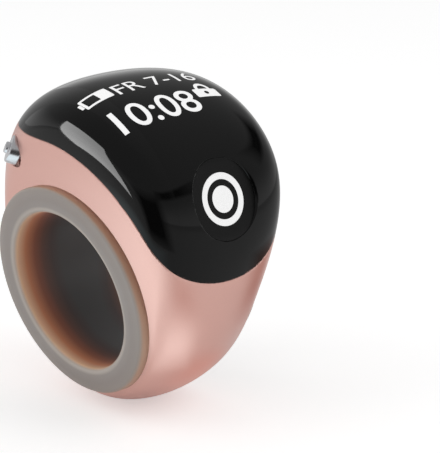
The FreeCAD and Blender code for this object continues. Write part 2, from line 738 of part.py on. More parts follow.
def build_carrier():
    wide = 2 * size.carrier_half_width
    deck = size.deck_height - size.cavity_floor
    block = Part.makeBox(
        wide, size.carrier_back + FAR, deck,
        Vector(-size.carrier_half_width, -FAR, size.cavity_floor))
    gap = size.fit_gap
    inner_x = size.battery_width / 2 + gap
    outer_x = inner_x + size.rim_width
    front = -size.battery_front - gap
    back = size.battery_back + gap
    rim = Part.makeBox(
        2 * outer_x, back - front + 2 * size.rim_width, size.rim_height,
        Vector(-outer_x, front - size.rim_width, size.deck_height))
    body = block.fuse(rim)
    for x in (-size.post_x, size.post_x):
        for y in (-size.post_front, size.post_back):
            tall = size.board_level - size.deck_height
            body = body.fuse(Part.makeCylinder(size.post_radius, tall, Vector(x, y, size.deck_height)))
    pins = []
    for x in (-size.post_x, size.post_x):
        reach = size.board_level + size.board_thickness * 0.8
        pins.append(Part.makeCylinder(
            size.pin_radius, reach - size.deck_height, Vector(x, -size.post_front, size.deck_height)))
    body = body.fuse(pins)
    ear = Part.makeBox(
        size.side_ear_width, size.side_ear_width, size.side_ear_depth,
        Vector(-size.side_ear_width / 2, -size.side_ear_width / 2, 0))
    ear.Placement = below(side_frame, side_back)
    body = body.fuse(ear)
    body = body.common(room_for_carrier()).common(carrier_front())
    body = body.cut(bore_rod(tube_radius + size.carrier_gap)).cut(side_switch_room())
    tray = Part.makeBox(
        2 * inner_x, back - front, FAR, Vector(-inner_x, front, size.deck_height))
    body = body.cut(tray)
    tab_room = size.battery_width / 4 + gap
    body = body.cut(Part.makeBox(
        2 * tab_room, size.tab_thickness + 2 * gap, FAR,
        Vector(-tab_room, size.battery_back, size.deck_height)))
    screw_end = size.board_level + size.board_thickness - size.screw_length
    for x in (-size.post_x, size.post_x):
        hole = Part.makeCylinder(
            size.screw_radius + size.thread_gap, FAR, Vector(x, size.post_back, screw_end - gap))
        body = body.cut(hole)
    axis = Vector(size.motor_x - size.nest_gap, size.motor_y, size.motor_z)
    nest_length = size.motor_length + 2 * size.nest_gap
    nest = Part.makeCylinder(size.motor_radius + size.nest_gap, nest_length, axis, X_AXIS)
    end = Vector(size.motor_x + size.motor_length, size.motor_y, size.motor_z)
    spin = size.weight_radius + size.spin_gap
    room = size.weight_gap + size.weight_length + size.spin_gap
    sweep = Part.makeCylinder(spin, room, end, X_AXIS)
    return body.cut(nest).cut(sweep)


carrier = node(solid("carrier", build_carrier()), "carrier")


# ---------------------------------------------------------------- battery and boards
battery = plate(
    "battery_cell", "<battery_width>", "<battery_length>", "<battery_thickness>", "<battery_corner>")
bind(
    battery, Placement__Base__y="<battery_length> / 2 - <battery_front>",
    Placement__Base__z="<deck_height>")
node(battery, "battery")
tab = box(
    "battery_tab", "<battery_width> / 2", "<tab_thickness>", "<battery_thickness> * 0.8",
    ("-<battery_width> / 4", "<battery_back>", "<deck_height> + <tab_lift>"))
node(tab, "battery_tab")
tab_top = "<deck_height> + <tab_lift> + <battery_thickness> * 0.8"
leads = []
for share in (-0.15, 0.15):
    lead = rod("lead", "<lead_radius>", f"<board_level> - ({tab_top})")
    bind(
        lead, Placement__Base__x=f"<battery_width> * {share}",
        Placement__Base__y="<battery_back> + <tab_thickness> / 2", Placement__Base__z=tab_top)
    leads.append(lead)
node(fused("battery_leads_pair", leads), "battery_leads")


def build_main_board():
    """A padded outline with rounded corners, two holes for the pins and two for screws."""
    import Sketcher
    body = new_body("board_body")
    outline = new_sketch(body, "board_outline", "XY_Plane")
    centred_rectangle(outline, "2 * <board_half_width>", "<board_front> + <board_back>")
    pad = body.newObject("PartDesign::Pad", "board_pad")
    pad.Profile = outline
    bind(pad, Length="<board_thickness>")
    doc.recompute()
    corners = body.newObject("PartDesign::Fillet", "board_corners")
    corners.Base = (pad, upright_edges(pad.Shape))
    bind(corners, Radius="<board_corner>")
    doc.recompute()
    holes = new_sketch(body, "board_holes", "XY_Plane")
    middle = "(<board_back> - <board_front>) / 2"
    places = []
    for x_sign in (-1, 1):
        places.append((x_sign, f"<post_front> + {middle}", -1, "<pin_radius> + <hole_gap>"))
        places.append((x_sign, f"<post_back> - {middle}", 1, "<screw_radius> + <hole_gap>"))
    for number, (x_sign, y_formula, y_sign, radius) in enumerate(places):
        holes.addGeometry(Part.Circle(Vector(5 * x_sign, 5 * y_sign, 0), Z_AXIS, 0.4), False)
        across = holes.addConstraint(Sketcher.Constraint("DistanceX", -1, 1, number, 3, 5.0 * x_sign))
        along = holes.addConstraint(Sketcher.Constraint("DistanceY", -1, 1, number, 3, 5.0 * y_sign))
        wide = holes.addConstraint(Sketcher.Constraint("Radius", number, 0.4))
        sign_x = "-1 * " if x_sign < 0 else ""
        sign_y = "-1 * " if y_sign < 0 else ""
        bind(holes, **{
            f"Constraints[{across}]": f"{sign_x}<post_x>",
            f"Constraints[{along}]": f"{sign_y}({y_formula})",
            f"Constraints[{wide}]": radius})
    pocket = body.newObject("PartDesign::Pocket", "board_drilling")
    pocket.Profile = holes
    pocket.Type = "ThroughAll"
    pocket.Midplane = True
    before = corners.Shape.Volume
    doc.recompute()
    if pocket.Shape.Volume > before - 0.5:
        pocket.Midplane = False
        pocket.Reversed = True
        doc.recompute()
    bind(body, Placement__Base__y=middle, Placement__Base__z="<board_level>")
    return body


node(build_main_board(), "main_board")
board_top = "<board_level> + <board_thickness>"


def chip(label, wide, deep, tall, left, front):
    """A small block standing on the main board, given by its left and front edges."""
    return box(label, wide, deep, tall, (left, front, board_top))


right = "<processor_side> / 2 + <chip_gap>"
node(chip(
    "processor", "<processor_side>", "<processor_side>", "<processor_height>",
    "-<processor_side> / 2", "<chips_front>"), "processor_chip")
node(chip(
    "power", "<power_side>", "<power_side>", "<power_height>",
    f"-({right}) - <power_side>", "<chips_front>"), "power_chip")
node(chip(
    "crystal", "<crystal_length>", "<crystal_width>", "<crystal_height>",
    right, "<chips_front>"), "clock_crystal")
node(chip(
    "radio", "<antenna_length>", "<antenna_width>", "<antenna_height>",
    right, "<chips_front> + <crystal_width> + <chip_gap>"), "antenna")
small = []
for number in (-1.5, -0.5, 0.5, 1.5):
    small.append(chip(
        "capacitor", "<capacitor_length>", "<capacitor_width>", "<capacitor_height>",
        f"<capacitor_pitch> * {number} - <capacitor_length> / 2",
        "<chips_front> + <processor_side> + <chip_gap>"))
node(fused("capacitor_row", small), "capacitors")


# ---------------------------------------------------------------- board screws
screws = []
for sign in (-1, 1):
    shank = rod("shank", "<screw_radius>", "<screw_length>")
    bind(
        shank, Placement__Base__x=f"{sign} * <post_x>", Placement__Base__y="<post_back>",
        Placement__Base__z=f"{board_top} - <screw_length>")
    top = rod("head", "<screw_head_radius>", "<screw_head_height>")
    bind(
        top, Placement__Base__x=f"{sign} * <post_x>", Placement__Base__y="<post_back>",
        Placement__Base__z=board_top)
    slot = box(
        "slot", "<screw_head_radius> * 3", "<screw_slot>", "<screw_head_height>",
        (f"{sign} * <post_x> - <screw_head_radius> * 1.5", "<post_back> - <screw_slot> / 2",
         f"{board_top} + <screw_head_height> / 2"))
    screws.append(cut("screw", fused("screw_blank", [shank, top]), slot))
node(fused("screw_pair", screws), "board_screws")


# ---------------------------------------------------------------- display
panel_lean = math.radians(size.panel_tilt)
panel_middle = Vector(0, -size.panel_front, size.panel_level)
panel_turn = FreeCAD.Rotation(X_AXIS, size.panel_tilt)
panel_frame = FreeCAD.Placement(panel_middle, panel_turn)


def panel_box(width, depth, low, high):
    """A block in the display's frame, between two levels over the panel's face."""
    block = Part.makeBox(width, depth, high - low, Vector(-width / 2, -depth / 2, low))
    block.Placement = panel_frame
    return block


panel = plate("panel_glass", "<panel_width>", "<panel_depth>", "<panel_thickness>")
panel.Placement = below(panel_frame, -size.panel_thickness)
node(panel, "display_panel")


def build_display_frame():
    border = 2 * (size.frame_border + size.fit_gap)
    wide = size.panel_width + border
    deep = size.panel_depth + border
    seat = -size.panel_thickness
    body = panel_box(wide, deep, -FAR / 4, seat + size.frame_hold)
    floor = size.board_level + size.board_thickness
    body = body.common(Part.makeBox(2 * FAR, 2 * FAR, FAR, Vector(-FAR, -FAR, floor)))
    fit = 2 * size.fit_gap
    pocket = panel_box(size.panel_width + fit, size.panel_depth + fit, seat, FAR / 4)
    ledge = 2 * size.frame_ledge
    hollow = panel_box(size.panel_width - ledge, size.panel_depth - ledge, -FAR / 2, FAR / 4)
    return body.cut(pocket).cut(hollow)


node(solid("display_frame", build_display_frame()), "display_frame")


def build_display_flex():
    """A thin ribbon from the panel's underside down to the board."""
    thick = size.flex_thickness
    floor = size.board_level + size.board_thickness
    start = panel_frame.multVec(Vector(0, size.flex_start, -size.panel_thickness))
    turn = panel_frame.multVec(Vector(0, size.flex_bend, -size.panel_thickness))
    down = panel_frame.Rotation.multVec(Z_AXIS) * -thick
    points = [
        start, turn, Vector(0, turn.y, floor), Vector(0, turn.y + size.flex_foot, floor),
        Vector(0, turn.y + size.flex_foot, floor + thick),
        Vector(0, turn.y + thick, floor + thick),
        turn + Vector(0, thick, 0) + down, start + down,
    ]
    ribbon = Part.Face(Part.makePolygon(points + points[:1])).extrude(X_AXIS * size.flex_width)
    ribbon.translate(X_AXIS * -size.flex_width / 2)
    return ribbon


node(solid("display_flex", build_display_flex()), "display_flex")


# ---------------------------------------------------------------- vibration motor
def along_finger(label, radius, length, start):
    """A cylinder along X on the motor's axis, from an X position given as a formula."""
    item = rod(label, radius, length)
    item.Placement = FreeCAD.Placement(Vector(), FreeCAD.Rotation(Y_AXIS, 90))
    bind(
        item, Placement__Base__x=start, Placement__Base__y="<motor_y>",
        Placement__Base__z="<motor_z>")
    return item


motor_end = "<motor_x> + <motor_length>"
motor_body = along_finger("motor_body", "<motor_radius>", "<motor_length>", "<motor_x>")
motor_bore = along_finger(
    "motor_bore", "<shaft_radius> + <shaft_gap>", "2 * <motor_bearing>",
    f"{motor_end} - <motor_bearing>")
node(cut("motor_case", motor_body, motor_bore), "motor_case")
shaft = along_finger(
    "shaft", "<shaft_radius>", "<shaft_hold> + <weight_gap> + <weight_length>",
    f"{motor_end} - <shaft_hold>")
node(shaft, "motor_shaft")
weight_start = f"{motor_end} + <weight_gap>"
disc = along_finger("weight_disc", "<weight_radius>", "<weight_length>", weight_start)
flat = box(
    "weight_flat", "<weight_length> * 2", "<weight_radius> * 4", "<weight_radius> * 2",
    (f"{weight_start} - <weight_length> / 2", "<motor_y> - <weight_radius> * 2",
     "<motor_z> + <shaft_radius> + <weight_web>"))
weight_bore = along_finger(
    "weight_bore", "<shaft_radius>", "<weight_length> * 2",
    f"{weight_start} - <weight_length> / 2")
node(cut("weight_half", cut("weight_blank", disc, flat), weight_bore), "motor_weight")


# ---------------------------------------------------------------- checks and export
doc.recompute()
for item in doc.Objects:
    for word in ("Invalid", "Error"):
        if word in item.State:
            raise RuntimeError(f"{item.Label} is {word}")

os.makedirs("parts", exist_ok=True)
for item in NODES:
    shape = item.Shape
    if shape.isNull() or not shape.isValid() or not shape.Solids:
        raise RuntimeError(f"{item.Label} has no valid solid")
    shape.exportStep(f"parts/{item.Label}.step")
    print(item.Label, len(shape.Solids), round(shape.Volume, 2))
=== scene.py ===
"""Looks of the digital tasbih counter: a rose-gold ring with a glossy black domed cover.

Lengths are millimetres, and MM turns them into metres. The frame is the part's own: +X along
the finger, +Z up through the display and -Y to the front, where the count key is.
"""

import json
import math

import bmesh
import bpy
import numpy as np
from mathutils import Matrix, Vector
from mathutils.bvhtree import BVHTree


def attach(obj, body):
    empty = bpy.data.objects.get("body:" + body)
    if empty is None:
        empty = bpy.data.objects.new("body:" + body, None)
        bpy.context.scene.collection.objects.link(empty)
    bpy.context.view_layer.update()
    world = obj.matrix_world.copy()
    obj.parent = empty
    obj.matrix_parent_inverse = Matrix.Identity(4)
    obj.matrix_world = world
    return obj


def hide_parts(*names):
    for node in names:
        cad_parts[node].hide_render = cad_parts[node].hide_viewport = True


MM = 0.001
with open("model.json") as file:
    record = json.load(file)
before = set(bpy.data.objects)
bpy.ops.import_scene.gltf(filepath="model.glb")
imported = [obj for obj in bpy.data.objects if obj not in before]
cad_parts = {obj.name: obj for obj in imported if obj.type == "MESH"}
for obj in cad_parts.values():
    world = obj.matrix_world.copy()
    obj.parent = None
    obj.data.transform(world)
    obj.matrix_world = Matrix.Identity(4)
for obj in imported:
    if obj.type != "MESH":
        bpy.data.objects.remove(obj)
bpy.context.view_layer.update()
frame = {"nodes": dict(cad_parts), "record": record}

# ---------------------------------------------------------------- sizes
# the finger bore and the sleeve in it, whose flange is at -X and whose far lip is at +X
BORE = 9.05
TUBE_OUT = 10.2
SHELL_BORE = 10.25
FLANGE_RADIUS = 11.95
FLANGE_THICK = 1.2
FLANGE_ROUND = 0.45
FAR_RADIUS = 11.6
FAR_THICK = 0.8
FAR_ROUND = 0.35
# a lip swells by LIP_CROWN in its middle, and by LIP_SHOULDER at LIP_FLAT from its edges
LIP_CROWN = 0.13
LIP_SHOULDER = 0.1
LIP_FLAT = 1.0
# the side faces: half the distance between them at the bore's axis, and how they lean apart
HALF_WIDTH = 7.9
TILT = math.radians(10.0)
LEAN = math.tan(TILT)
# the housing's sections, every 45 degrees from the front upwards: how far the crown lies
# from the bore's axis, how square the section is at its crown and how square at its sides
REACH = [15.24, 20.2, 22.71, 20.05, 12.6, 13.1, 14.13, 13.81]
CROWN_FULLNESS = [0.60, 0.93, 1.10, 0.70, 0.45, 0.71, 0.62, 0.53]
SIDE_FULLNESS = [0.38, 1.00, 0.57, 0.40, 0.64, 0.67, 0.62, 0.52]
# a section's curve starts LAND outside the shell's bore and OVERSHOOT past the side face,
# which starts SIDE_START outside the bore and trims the curve with a soft shoulder
LAND = 1.0
OVERSHOOT = 0.35
SHOULDER_SOFT = 0.6
SIDE_START = 0.1
# the joint between shell and cover: level at the back, then an arc, then straight
JOINT_LEVEL = 16.88
JOINT_START = 1.73
JOINT_RADIUS = 18.0
JOINT_TURN = math.radians(65.0)
# the open edges of both skins: half the gap at the joint, how far in the next row of points
# lies, how far the edge is lowered and its shading turned, how deep the folded wall runs, and
# how near an edge a point counts as on it
SEAM = 0.02
SEAM_STEP = 0.12
EDGE_DROP = 0.05
EDGE_EASE = 1.2
EDGE_DEPTH = 1.0
EDGE_NEAR = 0.05
JOINT_NEAR = 0.3
# the count key: the tilt of its axis, the angle at which that meets the dome, its dished face
# with the printed ring and dot, and how deep its hole is looked for
KEY_TILT = math.radians(21.0)
KEY_ANGLE = math.radians(39.2)
KEY_RADIUS = 4.35
KEY_GAP = 0.035
KEY_SKIRT = 1.95
KEY_DISH = 0.06
KEY_RIM = 0.3
KEY_SOFT = 0.12
KEY_EDGE_DROP = 0.02
KEY_HOLE_REACH = 8.0
MARK_RING = (2.1, 2.8)
MARK_DOT = 1.42
MARK_LIFT = 0.012
# the side key: a point on its axis, how far that is turned and lifted, its radii, its heights
# over the housing's surface, and its recess
SIDE_KEY = Vector((-9.55, 8.0, 14.2))
SIDE_TURN = math.radians(36.6)
SIDE_LIFT = math.radians(22.3)
SIDE_RADIUS = 1.55
SIDE_PIP_RADIUS = 0.65
SIDE_STEM_RADIUS = 0.7
SIDE_ROUND = 0.2
SIDE_PIP = 0.95
SIDE_PROUD = 0.5
SIDE_BASE = -0.85
SIDE_STEM = -2.75
SIDE_GAP = 0.12
SIDE_HOLE_REACH = 3.0
# the signs of the display: how far they lie over the cover, and their longest edges
PRINT_LIFT = 0.015
PRINT_STEP = 0.45

# ---------------------------------------------------------------- how finely meshes are cut
# round the ring, over each half of a section, whose points crowd at the shoulder, and down
# each side face
AROUND = 288
ACROSS = 40
CROWDING = 0.3
ACROSS_SIDE = 4
# the other pieces; a rounding takes up to CORNER_SHARE of the runs beside it
ROUND_STEPS = 96
KEY_STEPS = 120
KEY_RINGS = 30
MARK_RINGS = 6
SLEEVE_STEPS = 160
SLEEVE_BORE_STEPS = 12
LIP_STEPS = 8
CORNER_STEPS = 5
CORNER_SHARE = 0.49
PRINT_ROUNDS = 3
# a card's cells along it and up it
WALL_CELLS = (36, 16)
PATCH_CELLS = (24, 16)
SCREEN_CELLS = (8, 8)
# searches: halvings towards a zero, rays' starts outside the ring and near its surface, a
# distance that means far off, a step for slopes, and the softness of blended normals
BISECTIONS = 24
OUTSIDE = 40.0
NEARBY = 10.0
FAR_OFF = 99.0
SLOPE_REACH = 0.01
NORMAL_SOFT = 1e-4
WELD_METRES = 1e-7


# ---------------------------------------------------------------- mesh helpers
def linked(name, data):
    """An object of the scene with the given mesh, curve, lamp or camera."""
    item = bpy.data.objects.new(name, data)
    bpy.context.scene.collection.objects.link(item)
    return item


def new_object(name, vertices, faces, smooth=True):
    """A mesh object from points in millimetres."""
    mesh = bpy.data.meshes.new(name)
    mesh.from_pydata([tuple(Vector(point) * MM) for point in vertices], [], faces)
    mesh.update()
    if smooth:
        mesh.polygons.foreach_set("use_smooth", [True] * len(mesh.polygons))
    return linked(name, mesh)


def grid_faces(rows, columns, closed_rows=False, closed_columns=False):
    """Quads between neighbouring points of a grid stored row by row."""
    faces = []
    for row in range(rows if closed_rows else rows - 1):
        following = (row + 1) % rows
        for column in range(columns if closed_columns else columns - 1):
            beside = (column + 1) % columns
            faces.append([
                row * columns + column, row * columns + beside,
                following * columns + beside, following * columns + column])
    return faces


def faced_outwards(item, weld=True):
    """Joins points that coincide, unless told not to, and turns all faces outwards."""
    bm = bmesh.new()
    bm.from_mesh(item.data)
    if weld:
        bmesh.ops.remove_doubles(bm, verts=bm.verts, dist=WELD_METRES)
    bmesh.ops.recalc_face_normals(bm, faces=bm.faces)
    bm.to_mesh(item.data)
    bm.free()
    return item


def full_turn(steps):
    """Angles evenly spread over a full turn."""
    return [2 * math.pi * step / steps for step in range(steps)]


def polar(radius, angle):
    """The two coordinates of a point on a circle."""
    return radius * math.cos(angle), radius * math.sin(angle)


def turned(name, profile, place):
    """A profile of (radius, height) points turned round the local Z of a placement."""
    vertices = [
        place @ Vector((*polar(radius, angle), height))
        for angle in full_turn(ROUND_STEPS) for radius, height in profile]
    return faced_outwards(new_object(
        name, vertices, grid_faces(ROUND_STEPS, len(profile), closed_rows=True)))


def rounded(points, radius):
    """A profile's polyline with each inner corner rounded."""
    result = [points[0]]
    for before, corner, after in zip(points, points[1:], points[2:]):
        corner = Vector(corner)
        back = Vector(before) - corner
        onward = Vector(after) - corner
        reach = min(radius, back.length * CORNER_SHARE, onward.length * CORNER_SHARE)
        start = corner + back.normalized() * reach
        end = corner + onward.normalized() * reach
        for step in range(CORNER_STEPS + 1):
            t = step / CORNER_STEPS
            result.append(tuple(start * (1 - t) ** 2 + corner * 2 * t * (1 - t) + end * t ** 2))
    result.append(points[-1])
    return result


def smooth_least(a, b, soft):
    """The smaller of two lengths, with a soft change from one to the other."""
    share = min(max(0.5 + 0.5 * (b - a) / soft, 0.0), 1.0)
    return b * (1 - share) + a * share - soft * share * (1 - share)


# ---------------------------------------------------------------- housing surface
def half_width(height):
    """Distance of the side faces from the middle plane, at a height over the bore's axis."""
    return HALF_WIDTH + height * LEAN


def periodic_spline(values, count):
    """Smooth closed curve through evenly spread values, sampled at count places."""
    number = len(values)
    matrix = np.zeros((number, number))
    for index in range(number):
        matrix[index, index] = 4
        matrix[index, (index + 1) % number] = 1
        matrix[index, (index - 1) % number] = 1
    values = np.asarray(values, float)
    slope_sums = 3 * (np.roll(values, -1, axis=0) - np.roll(values, 1, axis=0))
    slopes = np.linalg.solve(matrix, slope_sums.reshape(number, -1)).reshape(values.shape)
    result = []
    for sample in range(count):
        place = number * sample / count
        index = int(place)
        t = place - index
        a, b = values[index % number], values[(index + 1) % number]
        da, db = slopes[index % number], slopes[(index + 1) % number]
        result.append(
            (2 * t ** 3 - 3 * t ** 2 + 1) * a + (t ** 3 - 2 * t ** 2 + t) * da
            + (3 * t ** 2 - 2 * t ** 3) * b + (t ** 3 - t ** 2) * db)
    return result


def cubic(poles, t):
    """A point of the cubic curve with four poles."""
    return (
        (1 - t) ** 3 * poles[0] + 3 * (1 - t) ** 2 * t * poles[1]
        + 3 * (1 - t) * t ** 2 * poles[2] + t ** 3 * poles[3])


def section_poles(number):
    """Four poles of the curve from the side face to the crown, at one of the sections."""
    angle = 2 * math.pi * number / len(REACH)
    reach = REACH[number]
    start = SHELL_BORE + LAND
    bend = start + SIDE_FULLNESS[number] * (reach - start)
    poles = []
    for share, radius in ((1, start), (1, bend), (CROWN_FULLNESS[number], reach), (0, reach)):
        height = radius * math.sin(angle)
        poles.append((share * (half_width(height) + OVERSHOOT), -radius * math.cos(angle), height))
    return poles


def housing_grid():
    """The whole outer surface, as rows round the ring of points across it."""
    evens = [step / ACROSS for step in range(ACROSS + 1)]
    shares = [even + CROWDING * math.sin(2 * math.pi * even) / (2 * math.pi) for even in evens]
    bore_edge = SHELL_BORE + SIDE_START
    rows = []
    for poles in periodic_spline([section_poles(number) for number in range(len(REACH))], AROUND):
        start_y, start_z = poles[0][1], poles[0][2]
        radius = math.hypot(start_y, start_z)
        half = []
        for step in range(ACROSS_SIDE):
            share = (bore_edge + (radius - bore_edge) * step / ACROSS_SIDE) / radius
            half.append((half_width(share * start_z), share * start_y, share * start_z))
        for t in shares:
            x, y, z = cubic(poles, t)
            half.append((smooth_least(x, half_width(z), SHOULDER_SOFT), y, z))
        rows.append([(-x, y, z) for x, y, z in half] + half[-2::-1])
    return rows


def housing_form():
    """The outer surface, with its search tree, its smooth normals and its faces' corners."""
    bm = bmesh.new()
    vertices = [bm.verts.new(point) for point in grid_points]
    for quad in grid_faces(AROUND, len(grid[0]), closed_rows=True):
        bm.faces.new([vertices[index] for index in quad])
    bmesh.ops.recalc_face_normals(bm, faces=bm.faces)
    bm.normal_update()
    if sum(face.normal.dot(face.calc_center_median()) for face in bm.faces) <= 0:
        bmesh.ops.reverse_faces(bm, faces=bm.faces)
    bm.verts.index_update()
    normals = [vertex.normal.copy() for vertex in bm.verts]
    corners = [[vertex.index for vertex in face.verts] for face in bm.faces]
    return bm, BVHTree.FromBMesh(bm), normals, corners


grid = housing_grid()
grid_points = [Vector(point) for row in grid for point in row]
form, form_tree, form_normals, form_corners = housing_form()


def surface_normal(point):
    """The smooth normal of the housing's surface nearest to a point."""
    spot, _, index, _ = form_tree.find_nearest(point)
    total = Vector()
    for corner in form_corners[index]:
        weight = 1.0 / ((grid_points[corner] - spot).length + NORMAL_SOFT) ** 2
        total += form_normals[corner] * weight
    return total.normalized()


# ---------------------------------------------------------------- joint of shell and cover
def joint_height(y):
    """Height of the joint at a distance behind the bore's axis."""
    end = JOINT_START - JOINT_RADIUS * math.sin(JOINT_TURN)
    if y >= JOINT_START:
        return JOINT_LEVEL
    if y >= end:
        return JOINT_LEVEL - JOINT_RADIUS + math.sqrt(JOINT_RADIUS ** 2 - (JOINT_START - y) ** 2)
    fall = JOINT_RADIUS * (1 - math.cos(JOINT_TURN))
    return JOINT_LEVEL - fall - (end - y) * math.tan(JOINT_TURN)


def joint_slope(y):
    """How steeply the joint rises towards the back."""
    return (joint_height(y + SLOPE_REACH) - joint_height(y - SLOPE_REACH)) / (2 * SLOPE_REACH)


def over_joint(point):
    """Distance over the joint's surface, roughly square to it."""
    return (point.z - joint_height(point.y)) / math.hypot(1.0, joint_slope(point.y))


def above_joint(point):
    """The direction square to the joint's surface, from the shell to the cover."""
    return Vector((0, -joint_slope(point.y), 1)).normalized()


def below_joint(point):
    """The same direction the other way."""
    return -above_joint(point)


# ---------------------------------------------------------------- places of the two keys
def key_matrix(point, outward):
    """A placement whose local Z points out of the surface and whose local Y points up."""
    level = Vector((0, 0, 1)).cross(outward).normalized()
    upright = outward.cross(level)
    matrix = Matrix((level, upright, outward)).transposed().to_4x4()
    matrix.translation = point
    return matrix


key_out = Vector((0, -math.cos(KEY_TILT), math.sin(KEY_TILT)))
key_ray = Vector((0, -math.cos(KEY_ANGLE), math.sin(KEY_ANGLE)))
key_foot = form_tree.ray_cast(key_ray * OUTSIDE, -key_ray)[0]
key_place = key_matrix(key_foot, key_out)
key_local = key_place.inverted()

side_out = Vector((
    -math.cos(SIDE_LIFT) * math.cos(SIDE_TURN), math.cos(SIDE_LIFT) * math.sin(SIDE_TURN),
    math.sin(SIDE_LIFT)))
side_foot = form_tree.ray_cast(SIDE_KEY + side_out * NEARBY, -side_out)[0]
side_place = key_matrix(side_foot, side_out)
side_local = side_place.inverted()


def from_key_axis(point):
    """Distance from the count key's axis, or far off on the ring's other side."""
    local = key_local @ point
    return FAR_OFF if local.z < -KEY_HOLE_REACH else math.hypot(local.x, local.y)


def from_side_axis(point):
    """Distance from the side key's axis, or far off on the ring's other side."""
    local = side_local @ point
    return FAR_OFF if abs(local.z) > SIDE_HOLE_REACH else math.hypot(local.x, local.y)


def off_axis(place, point):
    """The direction away from a key's axis, square to it."""
    local = place.inverted() @ point
    return (place.to_3x3() @ Vector((local.x, local.y, 0))).normalized()


def surface_height(x, y):
    """Height of the housing's surface over the count key's foot, at a place in its frame."""
    hit = form_tree.ray_cast(key_place @ Vector((x, y, NEARBY)), -key_out)[0]
    return (key_local @ hit).z


key_rim_height = surface_height(0, KEY_RADIUS - KEY_RIM)


# ---------------------------------------------------------------- cover and shell skins
def split_along(bm, level):
    """Cuts faces where a level function is zero, and keeps both sides."""
    values = {vertex: level(vertex.co) for vertex in bm.verts}
    crossing = [
        edge for edge in bm.edges
        if values[edge.verts[0]] * values[edge.verts[1]] < 0]
    fresh = []
    for edge in crossing:
        first, last = edge.verts
        low, high = 0.0, 1.0
        start, end = first.co.copy(), last.co.copy()
        sign = values[first] > 0
        for _ in range(BISECTIONS):
            middle = (low + high) / 2
            if (level(start.lerp(end, middle)) > 0) == sign:
                low = middle
            else:
                high = middle
        share = (low + high) / 2
        vertex = bmesh.utils.edge_split(edge, first, share)[1]
        vertex.co = start.lerp(end, share)
        fresh.append(vertex)
    bmesh.ops.connect_verts(bm, verts=fresh)


def trim(bm, level):
    """Cuts away what is under a level function's zero, and adds points beside the edge."""
    split_along(bm, level)
    gone = [face for face in bm.faces if level(face.calc_center_median()) < 0]
    bmesh.ops.delete(bm, geom=gone, context="FACES")
    split_along(bm, lambda point: level(point) - SEAM_STEP)


def finish_skin(bm, name, folds):
    """Folds open edges inwards, sets smooth normals and makes the object.

    Each fold is a test for its edges' points, and two functions of a point: the direction
    from the gap into the skin, and the one opposite to the way the folded wall runs.
    """
    normals = {vertex: surface_normal(vertex.co) for vertex in bm.verts}
    for test, direction, sink in folds:
        open_edges = [
            edge for edge in bm.edges
            if edge.is_boundary and all(test(vertex.co) for vertex in edge.verts)]
        for vertex in {vertex for edge in open_edges for vertex in edge.verts}:
            inward = direction(vertex.co)
            vertex.co -= normals[vertex] * EDGE_DROP
            normals[vertex] = (normals[vertex] - inward * EDGE_EASE).normalized()
        made = bmesh.ops.extrude_edge_only(bm, edges=open_edges)
        for vertex in made["geom"]:
            if isinstance(vertex, bmesh.types.BMVert):
                normals[vertex] = -direction(vertex.co)
                vertex.co -= sink(vertex.co) * EDGE_DEPTH
    order = [normals[vertex].copy() for vertex in bm.verts]
    for vertex in bm.verts:
        vertex.co *= MM
    mesh = bpy.data.meshes.new(name)
    bm.to_mesh(mesh)
    bm.free()
    mesh.polygons.foreach_set("use_smooth", [True] * len(mesh.polygons))
    mesh.normals_split_custom_set_from_vertices(order)
    return linked(name, mesh)


def build_cover():
    """The dome over the joint, with the count key's hole."""
    hole = KEY_RADIUS + KEY_GAP

    def at_hole(point):
        return from_key_axis(point) < hole + EDGE_NEAR

    def at_joint(point):
        return not at_hole(point)

    bm = form.copy()
    trim(bm, lambda point: over_joint(point) - SEAM)
    trim(bm, lambda point: from_key_axis(point) - hole)
    return finish_skin(bm, "cover_skin", [
        (at_joint, above_joint, surface_normal),
        (at_hole, lambda point: off_axis(key_place, point), lambda point: key_out),
    ])


def build_shell():
    """The ring under the joint, with the side key's recess."""
    recess = SIDE_RADIUS + SIDE_GAP

    def at_recess(point):
        return from_side_axis(point) < recess + EDGE_NEAR

    def at_joint(point):
        return abs(over_joint(point)) < JOINT_NEAR and not at_recess(point)

    bm = form.copy()
    trim(bm, lambda point: -over_joint(point) - SEAM)
    trim(bm, lambda point: from_side_axis(point) - recess)
    return finish_skin(bm, "shell_skin", [
        (at_joint, below_joint, surface_normal),
        (at_recess, lambda point: off_axis(side_place, point), lambda point: side_out),
    ])


cover_skin = build_cover()
shell_skin = build_shell()
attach(cover_skin, "housing")
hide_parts("top_cover")
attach(shell_skin, "housing")
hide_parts("ring_shell")


# ---------------------------------------------------------------- count key skin
def key_face_height(x, y):
    """The key's face follows the housing and is dished inside its rim."""
    rim = KEY_RADIUS - KEY_RIM
    sphere = (rim ** 2 + KEY_DISH ** 2) / (2 * KEY_DISH)
    dish = key_rim_height - KEY_DISH + sphere - math.sqrt(sphere ** 2 - x ** 2 - y ** 2)
    return smooth_least(surface_height(x, y), dish, KEY_SOFT)


def build_key():
    """The key's face, with rings closer together towards the rim, and its skirt."""
    vertices = []
    for angle in full_turn(KEY_STEPS):
        for ring in range(KEY_RINGS + 1):
            x, y = polar(KEY_RADIUS * math.sin(math.pi / 2 * ring / KEY_RINGS), angle)
            height = key_face_height(x, y)
            if ring == KEY_RINGS:
                height -= KEY_EDGE_DROP
            vertices.append(key_place @ Vector((x, y, height)))
        vertices.append(key_place @ Vector((*polar(KEY_RADIUS, angle), -KEY_SKIRT)))
    return faced_outwards(new_object(
        "key_skin", vertices, grid_faces(KEY_STEPS, KEY_RINGS + 2, closed_rows=True)))


